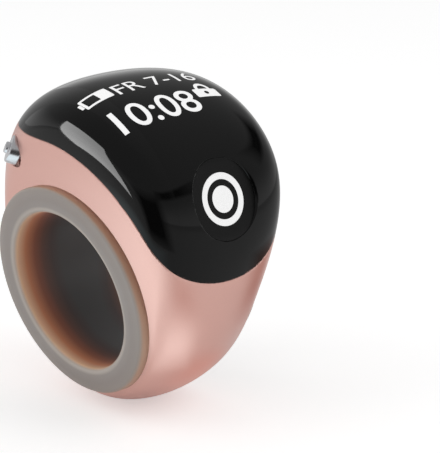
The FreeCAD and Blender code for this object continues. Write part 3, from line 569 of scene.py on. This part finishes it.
def key_mark(name, inner, outer):
    """A thin printed ring or dot that lies on the key's dish."""
    vertices = []
    for angle in full_turn(ROUND_STEPS):
        for ring in range(MARK_RINGS + 1):
            x, y = polar(inner + (outer - inner) * ring / MARK_RINGS, angle)
            vertices.append(key_place @ Vector((x, y, key_face_height(x, y) + MARK_LIFT)))
    return new_object(name, vertices, grid_faces(ROUND_STEPS, MARK_RINGS + 1, closed_rows=True))


key_skin = build_key()
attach(key_skin, "count_button")
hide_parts("count_key")
marks = [key_mark("key_ring_mark", *MARK_RING), key_mark("key_dot_mark", 0.0, MARK_DOT)]
for mark in marks:
    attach(mark, "count_button")


# ---------------------------------------------------------------- sleeve skin
def lip_profile(rim, thick, ease):
    """Points of (radius, height over the side face) from a lip's rim into the bore."""
    turns = [math.pi / 2 * step / LIP_STEPS for step in range(1, LIP_STEPS)]
    outer_round = [
        (rim - ease + ease * math.cos(turn), thick - ease + ease * math.sin(turn))
        for turn in turns]
    inner_round = [
        (BORE + ease - ease * math.sin(turn), thick - ease + ease * math.cos(turn))
        for turn in turns]
    face = [
        (rim - ease, thick), (rim - LIP_FLAT, thick + LIP_SHOULDER),
        ((rim + BORE) / 2, thick + LIP_CROWN),
        (BORE + LIP_FLAT, thick + LIP_SHOULDER), (BORE + ease, thick)]
    return [
        (rim, 0.0), (rim, thick - ease), *outer_round, *face, *inner_round, (BORE, thick - ease)]


def build_sleeve():
    """Tube with a rounded lip on each leaning side, drawn as rings round the finger."""
    def place(side, radius, height, angle):
        y, z = polar(radius, angle)
        return Vector((side * (half_width(z) + height / math.cos(TILT)), y, z))

    flange = lip_profile(FLANGE_RADIUS, FLANGE_THICK, FLANGE_ROUND)
    far_lip = lip_profile(FAR_RADIUS, FAR_THICK, FAR_ROUND)
    rows = []
    for angle in full_turn(SLEEVE_STEPS):
        near = [place(-1, radius, height, angle) for radius, height in flange]
        far = [place(1, radius, height, angle) for radius, height in reversed(far_lip)]
        bore = [
            near[-1].lerp(far[0], step / SLEEVE_BORE_STEPS) for step in range(1, SLEEVE_BORE_STEPS)]
        tube = [place(side, TUBE_OUT, 0.0, angle) for side in (1, -1)]
        rows.append(near + bore + far + tube)
    faces = grid_faces(SLEEVE_STEPS, len(rows[0]), closed_rows=True, closed_columns=True)
    vertices = [point for row in rows for point in row]
    return faced_outwards(new_object("sleeve_skin", vertices, faces), weld=False)


sleeve_skin = build_sleeve()
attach(sleeve_skin, "housing")
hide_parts("size_sleeve")
# its reflection would darken the metal beside it
sleeve_skin.visible_glossy = False


# ---------------------------------------------------------------- side key skin
side_profile = rounded([
    (0.0, SIDE_PIP), (SIDE_PIP_RADIUS, SIDE_PIP), (SIDE_PIP_RADIUS, SIDE_PROUD),
    (SIDE_RADIUS, SIDE_PROUD), (SIDE_RADIUS, SIDE_BASE), (SIDE_STEM_RADIUS, SIDE_BASE),
    (SIDE_STEM_RADIUS, SIDE_STEM), (0.0, SIDE_STEM)], SIDE_ROUND)
side_skin = turned("side_key_skin", side_profile, side_place)
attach(side_skin, "side_button")
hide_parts("side_key")


# ---------------------------------------------------------------- display graphics
def drawing(name, curve):
    """The filled flat drawing of a curve, as a mesh."""
    draft = linked(name + "_draft", curve)
    bpy.context.view_layer.update()
    graph = bpy.context.evaluated_depsgraph_get()
    mesh = bpy.data.meshes.new_from_object(draft.evaluated_get(graph))
    bpy.data.objects.remove(draft)
    mesh.name = name
    return mesh


def laid(name, mesh):
    """Cuts a flat drawing finely and lays it on the cover, straight down."""
    bm = bmesh.new()
    bm.from_mesh(mesh)
    bmesh.ops.triangulate(bm, faces=bm.faces)
    for _ in range(PRINT_ROUNDS):
        long_edges = [edge for edge in bm.edges if edge.calc_length() > PRINT_STEP * MM]
        bmesh.ops.subdivide_edges(bm, edges=long_edges, cuts=1)
        bmesh.ops.triangulate(bm, faces=bm.faces)
    for vertex in bm.verts:
        start = Vector((vertex.co.x / MM, vertex.co.y / MM, OUTSIDE))
        hit, normal, _, _ = form_tree.ray_cast(start, Vector((0, 0, -1)))
        vertex.co = (hit + normal * PRINT_LIFT) * MM
    bm.to_mesh(mesh)
    bm.free()
    return linked(name, mesh)


def drawn_text(name, words, left, bottom, width, height, bold):
    """Text that fills a rectangle of the display, seen from above."""
    capital_share = 0.7
    curve = bpy.data.curves.new(name, "FONT")
    curve.body = words
    curve.size = height / capital_share * MM
    curve.offset = bold * MM
    curve.resolution_u = 6
    mesh = drawing(name, curve)
    places = [vertex.co for vertex in mesh.vertices]
    low = Vector([min(place[axis] for place in places) for axis in range(2)])
    high = Vector([max(place[axis] for place in places) for axis in range(2)])
    for place in places:
        place.x = (left + width * (place.x - low.x) / (high.x - low.x)) * MM
        place.y = (bottom + height * (place.y - low.y) / (high.y - low.y)) * MM
    return laid(name, mesh)


def drawn_shape(name, loops):
    """A flat sign whose loops are its outlines and its holes."""
    curve = bpy.data.curves.new(name, "CURVE")
    curve.dimensions = "2D"
    curve.fill_mode = "BOTH"
    for loop in loops:
        spline = curve.splines.new("POLY")
        spline.points.add(len(loop) - 1)
        for point, (x, y) in zip(spline.points, loop):
            point.co = (x * MM, y * MM, 0, 1)
        spline.use_cyclic_u = True
    return laid(name, drawing(name, curve))


def arc(centre, radii, start, end, steps):
    """Points of an ellipse's arc between two angles in degrees, both ends included."""
    turns = [math.radians(start + (end - start) * step / steps) for step in range(steps + 1)]
    return [
        (centre[0] + radii[0] * math.cos(turn), centre[1] + radii[1] * math.sin(turn))
        for turn in turns]


def block(left, bottom, right, top, corner=0.15):
    """A rectangle with rounded corners."""
    places = (
        (right - corner, top - corner), (left + corner, top - corner),
        (left + corner, bottom + corner), (right - corner, bottom + corner))
    points = []
    for number, place in enumerate(places):
        points += arc(place, (corner, corner), 90 * number, 90 * number + 90, 3)
    return points


def battery_loops(left, bottom, width, height, stroke):
    """A battery lying down: its pole at the left, its right part full."""
    pole_length, pole_gap, pole_reach = 0.35, 0.04, 0.24 * height
    empty_share = 0.55
    right, top, middle = left + width, bottom + height, bottom + height / 2
    body = left + pole_length
    outline = block(body, bottom, right, top)
    empty = block(
        body + stroke, bottom + stroke, body + empty_share * (right - body), top - stroke,
        corner=0.05)
    pole = block(left, middle - pole_reach, body - pole_gap, middle + pole_reach, corner=0.06)
    return [outline, empty, pole]


def padlock_loops(left, bottom, width, height, stroke):
    """A padlock: a body with a keyhole under a shackle."""
    body_share, shackle_share, foot = 0.56, 0.31, 0.02
    hole_radii = (0.3, 0.26)
    centre, body_top = left + width / 2, bottom + height * body_share
    keyhole = arc((centre, (bottom + body_top) / 2), hole_radii, 0, 337.5, 15)
    outer = width * shackle_share
    bend = bottom + height - outer
    shackle = []
    for radius, order in ((outer, 1), (outer - stroke, -1)):
        bow = arc((centre, bend), (radius, radius), 0, 180, 12)
        bow = [(centre + radius, body_top + foot)] + bow + [(centre - radius, body_top + foot)]
        shackle += bow[::order]
    return [block(left, bottom, left + width, body_top, corner=0.2), keyhole, shackle]


graphics = [
    drawn_shape("display_battery", battery_loops(
        left=-9.2, bottom=-3.65, width=3.9, height=1.9, stroke=0.3)),
    drawn_text(
        "display_date", "FR 7-16", left=-4.75, bottom=-3.95, width=10.9, height=2.0, bold=0.0),
    drawn_text(
        "display_clock", "10:08", left=-8.2, bottom=-8.75, width=11.1, height=3.1, bold=0.03),
    drawn_shape("display_padlock", padlock_loops(
        left=3.5, bottom=-7.05, width=3.3, height=2.3, stroke=0.4)),
]
for item in graphics:
    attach(item, "housing")


# ---------------------------------------------------------------- node helpers
def math_node(tree, operation, *values):
    """A math node whose inputs are numbers or other nodes' sockets."""
    item = tree.nodes.new("ShaderNodeMath")
    item.operation = operation
    for socket, value in zip(item.inputs, values):
        if isinstance(value, (int, float)):
            socket.default_value = value
        else:
            tree.links.new(value, socket)
    return item.outputs[0]


def map_node(tree, value, from_span=(0.0, 1.0), to_span=(0.0, 1.0), smooth=False):
    """A node that takes one span of numbers to another."""
    item = tree.nodes.new("ShaderNodeMapRange")
    item.interpolation_type = "SMOOTHSTEP" if smooth else "LINEAR"
    names = ("From Min", "From Max", "To Min", "To Max")
    for name, number in zip(names, (*from_span, *to_span)):
        item.inputs[name].default_value = number
    tree.links.new(value, item.inputs["Value"])
    return item.outputs["Result"]


def ramp_node(tree, value, stops):
    """A colour ramp with the given places and colours, the colours as seen on screen."""
    item = tree.nodes.new("ShaderNodeValToRGB")
    elements = item.color_ramp.elements
    while len(elements) < len(stops):
        elements.new(0.5)
    for element, (place, color) in zip(elements, stops):
        element.position = place
        element.color = (*linear(*color), 1.0)
    tree.links.new(value, item.inputs["Fac"])
    return item.outputs["Color"]


def linear(red, green, blue):
    """A colour as seen on screen, from 0 to 255, in the renderer's own numbers."""
    result = []
    for channel in (red, green, blue):
        share = channel / 255
        result.append(share / 12.92 if share <= 0.04045 else ((share + 0.055) / 1.055) ** 2.4)
    return tuple(result)


# ---------------------------------------------------------------- materials
GRAIN_DETAIL = 4.0
GRAIN_DEPTH = 0.02
GRAIN_SPAN = (0.3, 0.7)


def new_material(name, color, roughness, metallic=0.0, specular=0.5):
    """A plain material whose colour is given as seen on screen."""
    material = bpy.data.materials.new(name)
    material.use_nodes = True
    shader = material.node_tree.nodes["Principled BSDF"]
    shader.inputs["Base Color"].default_value = (*linear(*color), 1.0)
    shader.inputs["Roughness"].default_value = roughness
    shader.inputs["Metallic"].default_value = metallic
    shader.inputs["Specular IOR Level"].default_value = specular
    return material


def add_grain(material, scale, bump, color_share=0.0, rough_share=0.0):
    """Fine noise in the object's own coordinates, for bump, tone and roughness."""
    tree = material.node_tree
    nodes, links = tree.nodes, tree.links
    shader = nodes["Principled BSDF"]
    place = nodes.new("ShaderNodeTexCoord")
    noise = nodes.new("ShaderNodeTexNoise")
    noise.inputs["Scale"].default_value = scale
    noise.inputs["Detail"].default_value = GRAIN_DETAIL
    links.new(place.outputs["Object"], noise.inputs["Vector"])
    bumps = nodes.new("ShaderNodeBump")
    bumps.inputs["Strength"].default_value = bump
    bumps.inputs["Distance"].default_value = GRAIN_DEPTH * MM
    links.new(noise.outputs["Fac"], bumps.inputs["Height"])
    links.new(bumps.outputs["Normal"], shader.inputs["Normal"])
    if color_share:
        base = list(shader.inputs["Base Color"].default_value)[:3]
        ramp = nodes.new("ShaderNodeValToRGB")
        for element, place, change in zip(
                ramp.color_ramp.elements, GRAIN_SPAN, (1 - color_share, 1 + color_share)):
            element.position = place
            element.color = [min(channel * change, 1.0) for channel in base] + [1.0]
        links.new(noise.outputs["Fac"], ramp.inputs["Fac"])
        links.new(ramp.outputs["Color"], shader.inputs["Base Color"])
    if rough_share:
        base = shader.inputs["Roughness"].default_value
        span = (max(base - rough_share, 0.0), min(base + rough_share, 1.0))
        links.new(map_node(tree, noise.outputs["Fac"], to_span=span), shader.inputs["Roughness"])
    return material


def lit_look():
    """The white of the display's lit signs, which glow a little by themselves; the key's printed
    marks get the same glow, which on them is a painted glow.
    """
    material = new_material("lit_white", (238, 238, 238), roughness=0.5, specular=0.2)
    shader = material.node_tree.nodes["Principled BSDF"]
    shader.inputs["Emission Color"].default_value = (1, 1, 1, 1)
    shader.inputs["Emission Strength"].default_value = 0.28
    return add_grain(material, scale=6000, bump=0.02, color_share=0.02)


SLEEVE_LIP = (162, 153, 148)
# the bore's colour by its depth under the lip, as shares of the depth set below: a painted amber glow
# of light shining through the silicone just behind the lip, then painted shade further in
BORE_GLOW_SHADE_DEPTH = 7.0
BORE_PAINTED_GLOW_AND_SHADE = [
    (0.0, SLEEVE_LIP), (0.05, (250, 212, 178)), (0.22, (214, 145, 110)), (0.4, (154, 99, 80)),
    (0.56, (113, 84, 75)), (0.74, (86, 76, 74)), (0.92, (84, 84, 84))]
# the lip's colour from the bore's edge to the flange's rim: a painted highlight on the bore's rounded
# edge, the silicone's own tone across the face, and a painted amber glow of light shining through at
# the rim
LIP_TONE_AND_PAINTED_LIGHT = [
    (0.0, (190, 180, 172)), (0.1, (186, 177, 169)), (0.2, (160, 151, 146)), (0.5, (158, 149, 144)),
    (0.9, (164, 155, 149)), (0.96, (176, 160, 148)), (1.0, (190, 152, 128))]
# how far outside the bore its colours start to give way to the lip's, and have done so
BORE_COLOR_ENDS = (0.28, 0.03)
LIP_COLOR_START = 0.2


def sleeve_look():
    """Milky silicone whose bore turns amber behind each lip, and dark further in: a painted glow of
    light through the silicone, then painted shade; its lips carry a painted highlight at the bore's
    edge and a painted glow at the rim.
    """
    material = new_material("sleeve_silicone", SLEEVE_LIP, roughness=0.4, specular=0.4)
    tree = material.node_tree
    nodes, links = tree.nodes, tree.links
    shader = nodes["Principled BSDF"]
    shader.inputs["Subsurface Weight"].default_value = 0.2
    shader.inputs["Subsurface Radius"].default_value = (1.0, 0.7, 0.5)
    shader.inputs["Subsurface Scale"].default_value = 0.6 * MM
    place = nodes.new("ShaderNodeTexCoord")
    axes = nodes.new("ShaderNodeSeparateXYZ")
    links.new(place.outputs["Object"], axes.inputs[0])
    x, y, z = axes.outputs
    radius = math_node(tree, "SQRT", math_node(
        tree, "ADD", math_node(tree, "MULTIPLY", y, y), math_node(tree, "MULTIPLY", z, z)))
    end = math_node(
        tree, "ADD", math_node(tree, "MULTIPLY", z, LEAN), (HALF_WIDTH + FLANGE_THICK) * MM)
    depth = math_node(tree, "SUBTRACT", end, math_node(tree, "ABSOLUTE", x))
    bore_span = [(BORE + distance) * MM for distance in BORE_COLOR_ENDS]
    lip_span = ((BORE + LIP_COLOR_START) * MM, FLANGE_RADIUS * MM)
    # painted light: an amber glow and shade down the bore, and a highlight and a rim glow on the lips
    bore_painted_light = ramp_node(
        tree, math_node(tree, "DIVIDE", depth, BORE_GLOW_SHADE_DEPTH * MM), BORE_PAINTED_GLOW_AND_SHADE)
    lip_tone_and_painted_light = ramp_node(tree, map_node(tree, radius, lip_span), LIP_TONE_AND_PAINTED_LIGHT)
    blend = nodes.new("ShaderNodeMix")
    blend.data_type = "RGBA"
    links.new(map_node(tree, radius, bore_span, smooth=True), blend.inputs["Factor"])
    links.new(lip_tone_and_painted_light, blend.inputs[6])
    links.new(bore_painted_light, blend.inputs[7])
    links.new(blend.outputs[2], shader.inputs["Base Color"])
    return add_grain(material, scale=4000, bump=0.05, rough_share=0.05)


# the looks of the solids' material slots: colour, roughness, metallic share
SLOT_LOOKS = {
    "carrier_plastic": ((40, 40, 42), 0.55, 0.0),
    "board_laminate": ((24, 92, 58), 0.45, 0.0),
    "chip_plastic": ((34, 34, 36), 0.5, 0.0),
    "ceramic": ((214, 206, 190), 0.5, 0.0),
    "crystal_metal": ((200, 200, 200), 0.3, 0.9),
    "battery_foil": ((200, 201, 204), 0.32, 0.85),
    "tape": ((186, 130, 46), 0.4, 0.0),
    "lead_metal": ((205, 203, 196), 0.3, 0.9),
    "screw_steel": ((176, 176, 178), 0.3, 0.95),
    "panel_glass": ((22, 25, 30), 0.08, 0.0),
    "switch_steel": ((190, 190, 192), 0.3, 0.9),
    "plunger_plastic": ((44, 44, 46), 0.5, 0.0),
    "motor_steel": ((188, 188, 190), 0.28, 0.95),
    "weight_steel": ((150, 147, 142), 0.4, 0.9),
    "seal_rubber": ((30, 30, 30), 0.7, 0.0),
    "shell_metal": ((222, 172, 160), 0.33, 0.75),
    "cover_gloss": ((16, 16, 17), 0.08, 0.0),
    "key_gloss": ((22, 22, 23), 0.35, 0.0),
    "side_key_metal": ((205, 205, 208), 0.2, 0.95),
    "sleeve_rubber": ((158, 147, 141), 0.42, 0.0),
}


def dress(item, material):
    """Makes a material the only one of a piece."""
    item.data.materials.clear()
    item.data.materials.append(material)


looks = {
    slot: add_grain(
        new_material("look_" + slot, color, roughness, metallic),
        scale=5000, bump=0.08, color_share=0.05, rough_share=0.05)
    for slot, (color, roughness, metallic) in SLOT_LOOKS.items()}
for row in frame["record"]["subparts"]:
    dress(frame["nodes"][row["node"]], looks[row["material_slot"]])

dress(shell_skin, add_grain(
    new_material("rose_gold", (231, 183, 172), roughness=0.3, metallic=0.85),
    scale=9000, bump=0.05, color_share=0.02, rough_share=0.03))
dress(cover_skin, add_grain(
    new_material("cover_black", (9, 9, 9), roughness=0.06, specular=0.2),
    scale=5000, bump=0.01, color_share=0.05, rough_share=0.02))
dress(key_skin, add_grain(
    new_material("key_black", (21, 21, 21), roughness=0.5, specular=0.15),
    scale=8000, bump=0.05, color_share=0.05, rough_share=0.04))
dress(side_skin, add_grain(
    new_material("silver", (205, 205, 208), roughness=0.2, metallic=0.95),
    scale=9000, bump=0.04, color_share=0.03, rough_share=0.05))
dress(sleeve_skin, sleeve_look())
lit_white = lit_look()
# the key's marks are print, so the glow they get here is a painted glow
for item in marks + graphics:
    dress(item, lit_white)


# ---------------------------------------------------------------- floor and world
FLOOR_LEVEL = -14.2
FLOOR_REACH = 1500.0
FLOOR_TONE = 0.85
# what is added to the floor's own light for camera and glass, and for reflections
FLOOR_WHITE = 0.42
FLOOR_SHINE = 0.12
# the world's strength as a light, and straight overhead in reflections, from this height on
WORLD_LEVEL = 0.58
OVERHEAD_LEVEL = 0.47
OVERHEAD_FROM = 0.4


def ray_kinds(tree):
    """Two sockets: 1 for what camera and glass look at, and 1 for what gloss reflects."""
    path = tree.nodes.new("ShaderNodeLightPath")
    seen = math_node(
        tree, "MAXIMUM", path.outputs["Is Camera Ray"], path.outputs["Is Transmission Ray"])
    return seen, path.outputs["Is Glossy Ray"]


def floor_look():
    """Pale floor, lifted towards white where the camera, a metal or a glass looks at it."""
    material = bpy.data.materials.new("floor_white")
    material.use_nodes = True
    tree = material.node_tree
    shader = tree.nodes["Principled BSDF"]
    shader.inputs["Base Color"].default_value = (FLOOR_TONE, FLOOR_TONE, FLOOR_TONE, 1)
    shader.inputs["Roughness"].default_value = 0.9
    shader.inputs["Specular IOR Level"].default_value = 0.0
    shader.inputs["Emission Color"].default_value = (1, 1, 1, 1)
    seen, reflected = ray_kinds(tree)
    lift = math_node(
        tree, "ADD", math_node(tree, "MULTIPLY", seen, FLOOR_WHITE),
        math_node(tree, "MULTIPLY", reflected, FLOOR_SHINE))
    tree.links.new(lift, shader.inputs["Emission Strength"])
    return material


def studio_world():
    """White to the camera, glass and level reflections, dimmer overhead and as a light."""
    world = bpy.data.worlds.new("studio")
    bpy.context.scene.world = world
    world.use_nodes = True
    tree = world.node_tree
    background = tree.nodes["Background"]
    background.inputs["Color"].default_value = (1, 1, 1, 1)
    seen, reflected = ray_kinds(tree)
    place = tree.nodes.new("ShaderNodeTexCoord")
    axes = tree.nodes.new("ShaderNodeSeparateXYZ")
    tree.links.new(place.outputs["Generated"], axes.inputs[0])
    shine = map_node(
        tree, axes.outputs["Z"], (0.0, OVERHEAD_FROM),
        (1.0 - WORLD_LEVEL, OVERHEAD_LEVEL - WORLD_LEVEL), smooth=True)
    lift = math_node(
        tree, "ADD", math_node(tree, "MULTIPLY", reflected, shine),
        math_node(tree, "MULTIPLY", seen, 1.0 - WORLD_LEVEL))
    strength = math_node(tree, "ADD", lift, WORLD_LEVEL)
    tree.links.new(strength, background.inputs["Strength"])


floor_corners = [(-1, -1), (1, -1), (1, 1), (-1, 1)]
floor = new_object(
    "floor", [(x * FLOOR_REACH, y * FLOOR_REACH, FLOOR_LEVEL) for x, y in floor_corners],
    [(0, 1, 2, 3)], smooth=False)
floor.data.materials.append(floor_look())
studio_world()


# ---------------------------------------------------------------- lamps
def toward(azimuth, elevation, distance):
    """A place seen from the object at a compass angle (0 in front, 90 at +X) and a height."""
    turn, lift = math.radians(azimuth), math.radians(elevation)
    return Vector((
        math.sin(turn) * math.cos(lift), -math.cos(turn) * math.cos(lift), math.sin(lift))) * distance


def facing(item, place):
    """Puts a lamp or camera at a place and turns it to the frame's origin."""
    item.location = place * MM
    item.rotation_mode = "QUATERNION"
    item.rotation_quaternion = (-place).to_track_quat("-Z", "Y")


def lamp(name, place, width, height, radiance, shines_on=None):
    """A soft area lamp that faces the object; one with a piece to shine on only glints there."""
    data = bpy.data.lights.new(name, "AREA")
    data.shape = "RECTANGLE"
    data.size = width * MM
    data.size_y = height * MM
    data.energy = radiance * math.pi * width * height * MM ** 2
    item = linked(name, data)
    facing(item, place)
    item.visible_camera = False
    item.visible_glossy = shines_on is not None
    if shines_on is not None:
        item.visible_diffuse = False
        group = bpy.data.collections.new(name + "_pieces")
        group.objects.link(shines_on)
        item.light_linking.receiver_collection = group


lamp("key_lamp", toward(-117, 35, 300), width=200, height=200, radiance=1.3)
lamp("fill_lamp", toward(35, 45, 300), width=200, height=200, radiance=1.1)
lamp("shoulder_lamp", toward(-116.5, 15, 88), width=54, height=76, radiance=11.0,
     shines_on=cover_skin)


# ---------------------------------------------------------------- cards that only gloss shows
def card_look(name, glow):
    """Plain light that fades to nothing towards the card's edges."""
    material = bpy.data.materials.new(name)
    material.use_nodes = True
    nodes, links = material.node_tree.nodes, material.node_tree.links
    nodes.remove(nodes["Principled BSDF"])
    light = nodes.new("ShaderNodeEmission")
    light.inputs["Color"].default_value = (*glow, 1.0)
    clear = nodes.new("ShaderNodeBsdfTransparent")
    blend = nodes.new("ShaderNodeMixShader")
    fade = nodes.new("ShaderNodeAttribute")
    fade.attribute_name = "fade"
    links.new(fade.outputs["Fac"], blend.inputs["Fac"])
    links.new(clear.outputs["BSDF"], blend.inputs[1])
    links.new(light.outputs["Emission"], blend.inputs[2])
    links.new(blend.outputs["Shader"], nodes["Material Output"].inputs["Surface"])
    return material


def card(name, corner, cells, glow, soft):
    """A studio card that only reflections show, fading out over a share of its size.

    corner(share, height) gives a point for shares from 0 to 1 along and up the card.
    """
    along, across = cells
    spots = [
        (column / along, row / across) for column in range(along + 1) for row in range(across + 1)]
    item = new_object(
        name, [corner(*spot) for spot in spots], grid_faces(along + 1, across + 1), smooth=False)
    fade = item.data.attributes.new("fade", "FLOAT", "POINT")
    for point, (share, height) in zip(fade.data, spots):
        point.value = min(min(share, 1 - share, height, 1 - height) / soft, 1.0)
    item.visible_camera = item.visible_diffuse = item.visible_shadow = False
    item.data.materials.append(card_look(name, glow))


def between(span, share):
    """A number at a share of the way from a span's start to its end."""
    return span[0] + (span[1] - span[0]) * share


def around(turns, share, radius, height):
    """A point between two compass angles, at a distance from the upright axis."""
    turn = math.radians(between(turns, share))
    return Vector((radius * math.sin(turn), -radius * math.cos(turn), height))


def wall(name, radius, turns, lows, highs, glow, soft):
    """A card bent round the object between two compass angles, standing between two heights."""
    def corner(share, height):
        level = between((between(lows, share), between(highs, share)), height)
        return around(turns, share, radius, level)
    card(name, corner, WALL_CELLS, glow, soft)


def floor_patch(name, turns, radii, glow, soft):
    """A card lying just over the floor between two compass angles and two distances."""
    def corner(share, height):
        return around(turns, share, between(radii, height), FLOOR_LEVEL + PATCH_LIFT)
    card(name, corner, PATCH_CELLS, glow, soft)


def screen(name, x, span, heights, glow, soft):
    """An upright card square to the finger's axis, from front to back and low to high."""
    def corner(share, height):
        return Vector((x, between(span, share), between(heights, height)))
    card(name, corner, SCREEN_CELLS, glow, soft)


PATCH_LIFT = 0.1
BLACK_CARD = (0.02, 0.02, 0.02)
PLAIN_CARD = (0.55, 0.55, 0.55)
WARM_DARK = (0.42, 0.27, 0.24)
WARM_MID = (0.7, 0.5, 0.46)
WARM_GREY = (0.6, 0.46, 0.43)
COOL_WHITE = (1.2, 1.36, 1.4)
wall("front_flag", radius=60, turns=(-80, -8), lows=(-20, -20), highs=(27, 47),
     glow=BLACK_CARD, soft=0.25)
# it hides the shoulder lamp from the rest of the dome
screen("shoulder_screen", x=-6.5, span=(-16, 46), heights=(8, 78), glow=PLAIN_CARD, soft=0.02)
wall("brow_flag", radius=60.5, turns=(-22, 40), lows=(32, 34), highs=(47, 47),
     glow=BLACK_CARD, soft=0.3)
wall("side_flag", radius=250, turns=(56, 100), lows=(112, 112), highs=(192, 192),
     glow=BLACK_CARD, soft=0.3)
floor_patch("right_flag", turns=(44, 88), radii=(20, 60), glow=WARM_DARK, soft=0.3)
floor_patch("under_flag", turns=(-15, 70), radii=(5, 17), glow=WARM_MID, soft=0.35)
floor_patch("middle_flag", turns=(-24, 6), radii=(22, 40), glow=WARM_GREY, soft=0.4)
floor_patch("left_glow", turns=(-150, -22), radii=(15, 58), glow=COOL_WHITE, soft=0.2)
floor_patch("front_glow", turns=(-34, 8), radii=(12, 27), glow=COOL_WHITE, soft=0.35)


# ---------------------------------------------------------------- camera
PHOTO_SIZE = (440, 453)
# the pixel of the photograph where the frame's origin shows, and its scale there
ORIGIN_PIXEL = (130.73, 273.12)
PIXELS_PER_MM = 8.986
CAMERA_AZIMUTH = -40.648
CAMERA_ELEVATION = 20.0
CAMERA_DISTANCE = 200.0
SENSOR_WIDTH = 36.0
camera_data = bpy.data.cameras.new("camera")
camera = linked("camera", camera_data)
facing(camera, toward(CAMERA_AZIMUTH, CAMERA_ELEVATION, CAMERA_DISTANCE))
camera_data.sensor_width = SENSOR_WIDTH
camera_data.lens = PIXELS_PER_MM * CAMERA_DISTANCE / max(PHOTO_SIZE) * SENSOR_WIDTH
camera_data.shift_x = (PHOTO_SIZE[0] / 2 - ORIGIN_PIXEL[0]) / max(PHOTO_SIZE)
camera_data.shift_y = (ORIGIN_PIXEL[1] - PHOTO_SIZE[1] / 2) / max(PHOTO_SIZE)
camera_data.clip_start = 0.01
camera_data.clip_end = 10.0
bpy.context.scene.camera = camera
bpy.context.scene.view_settings.view_transform = "Standard"
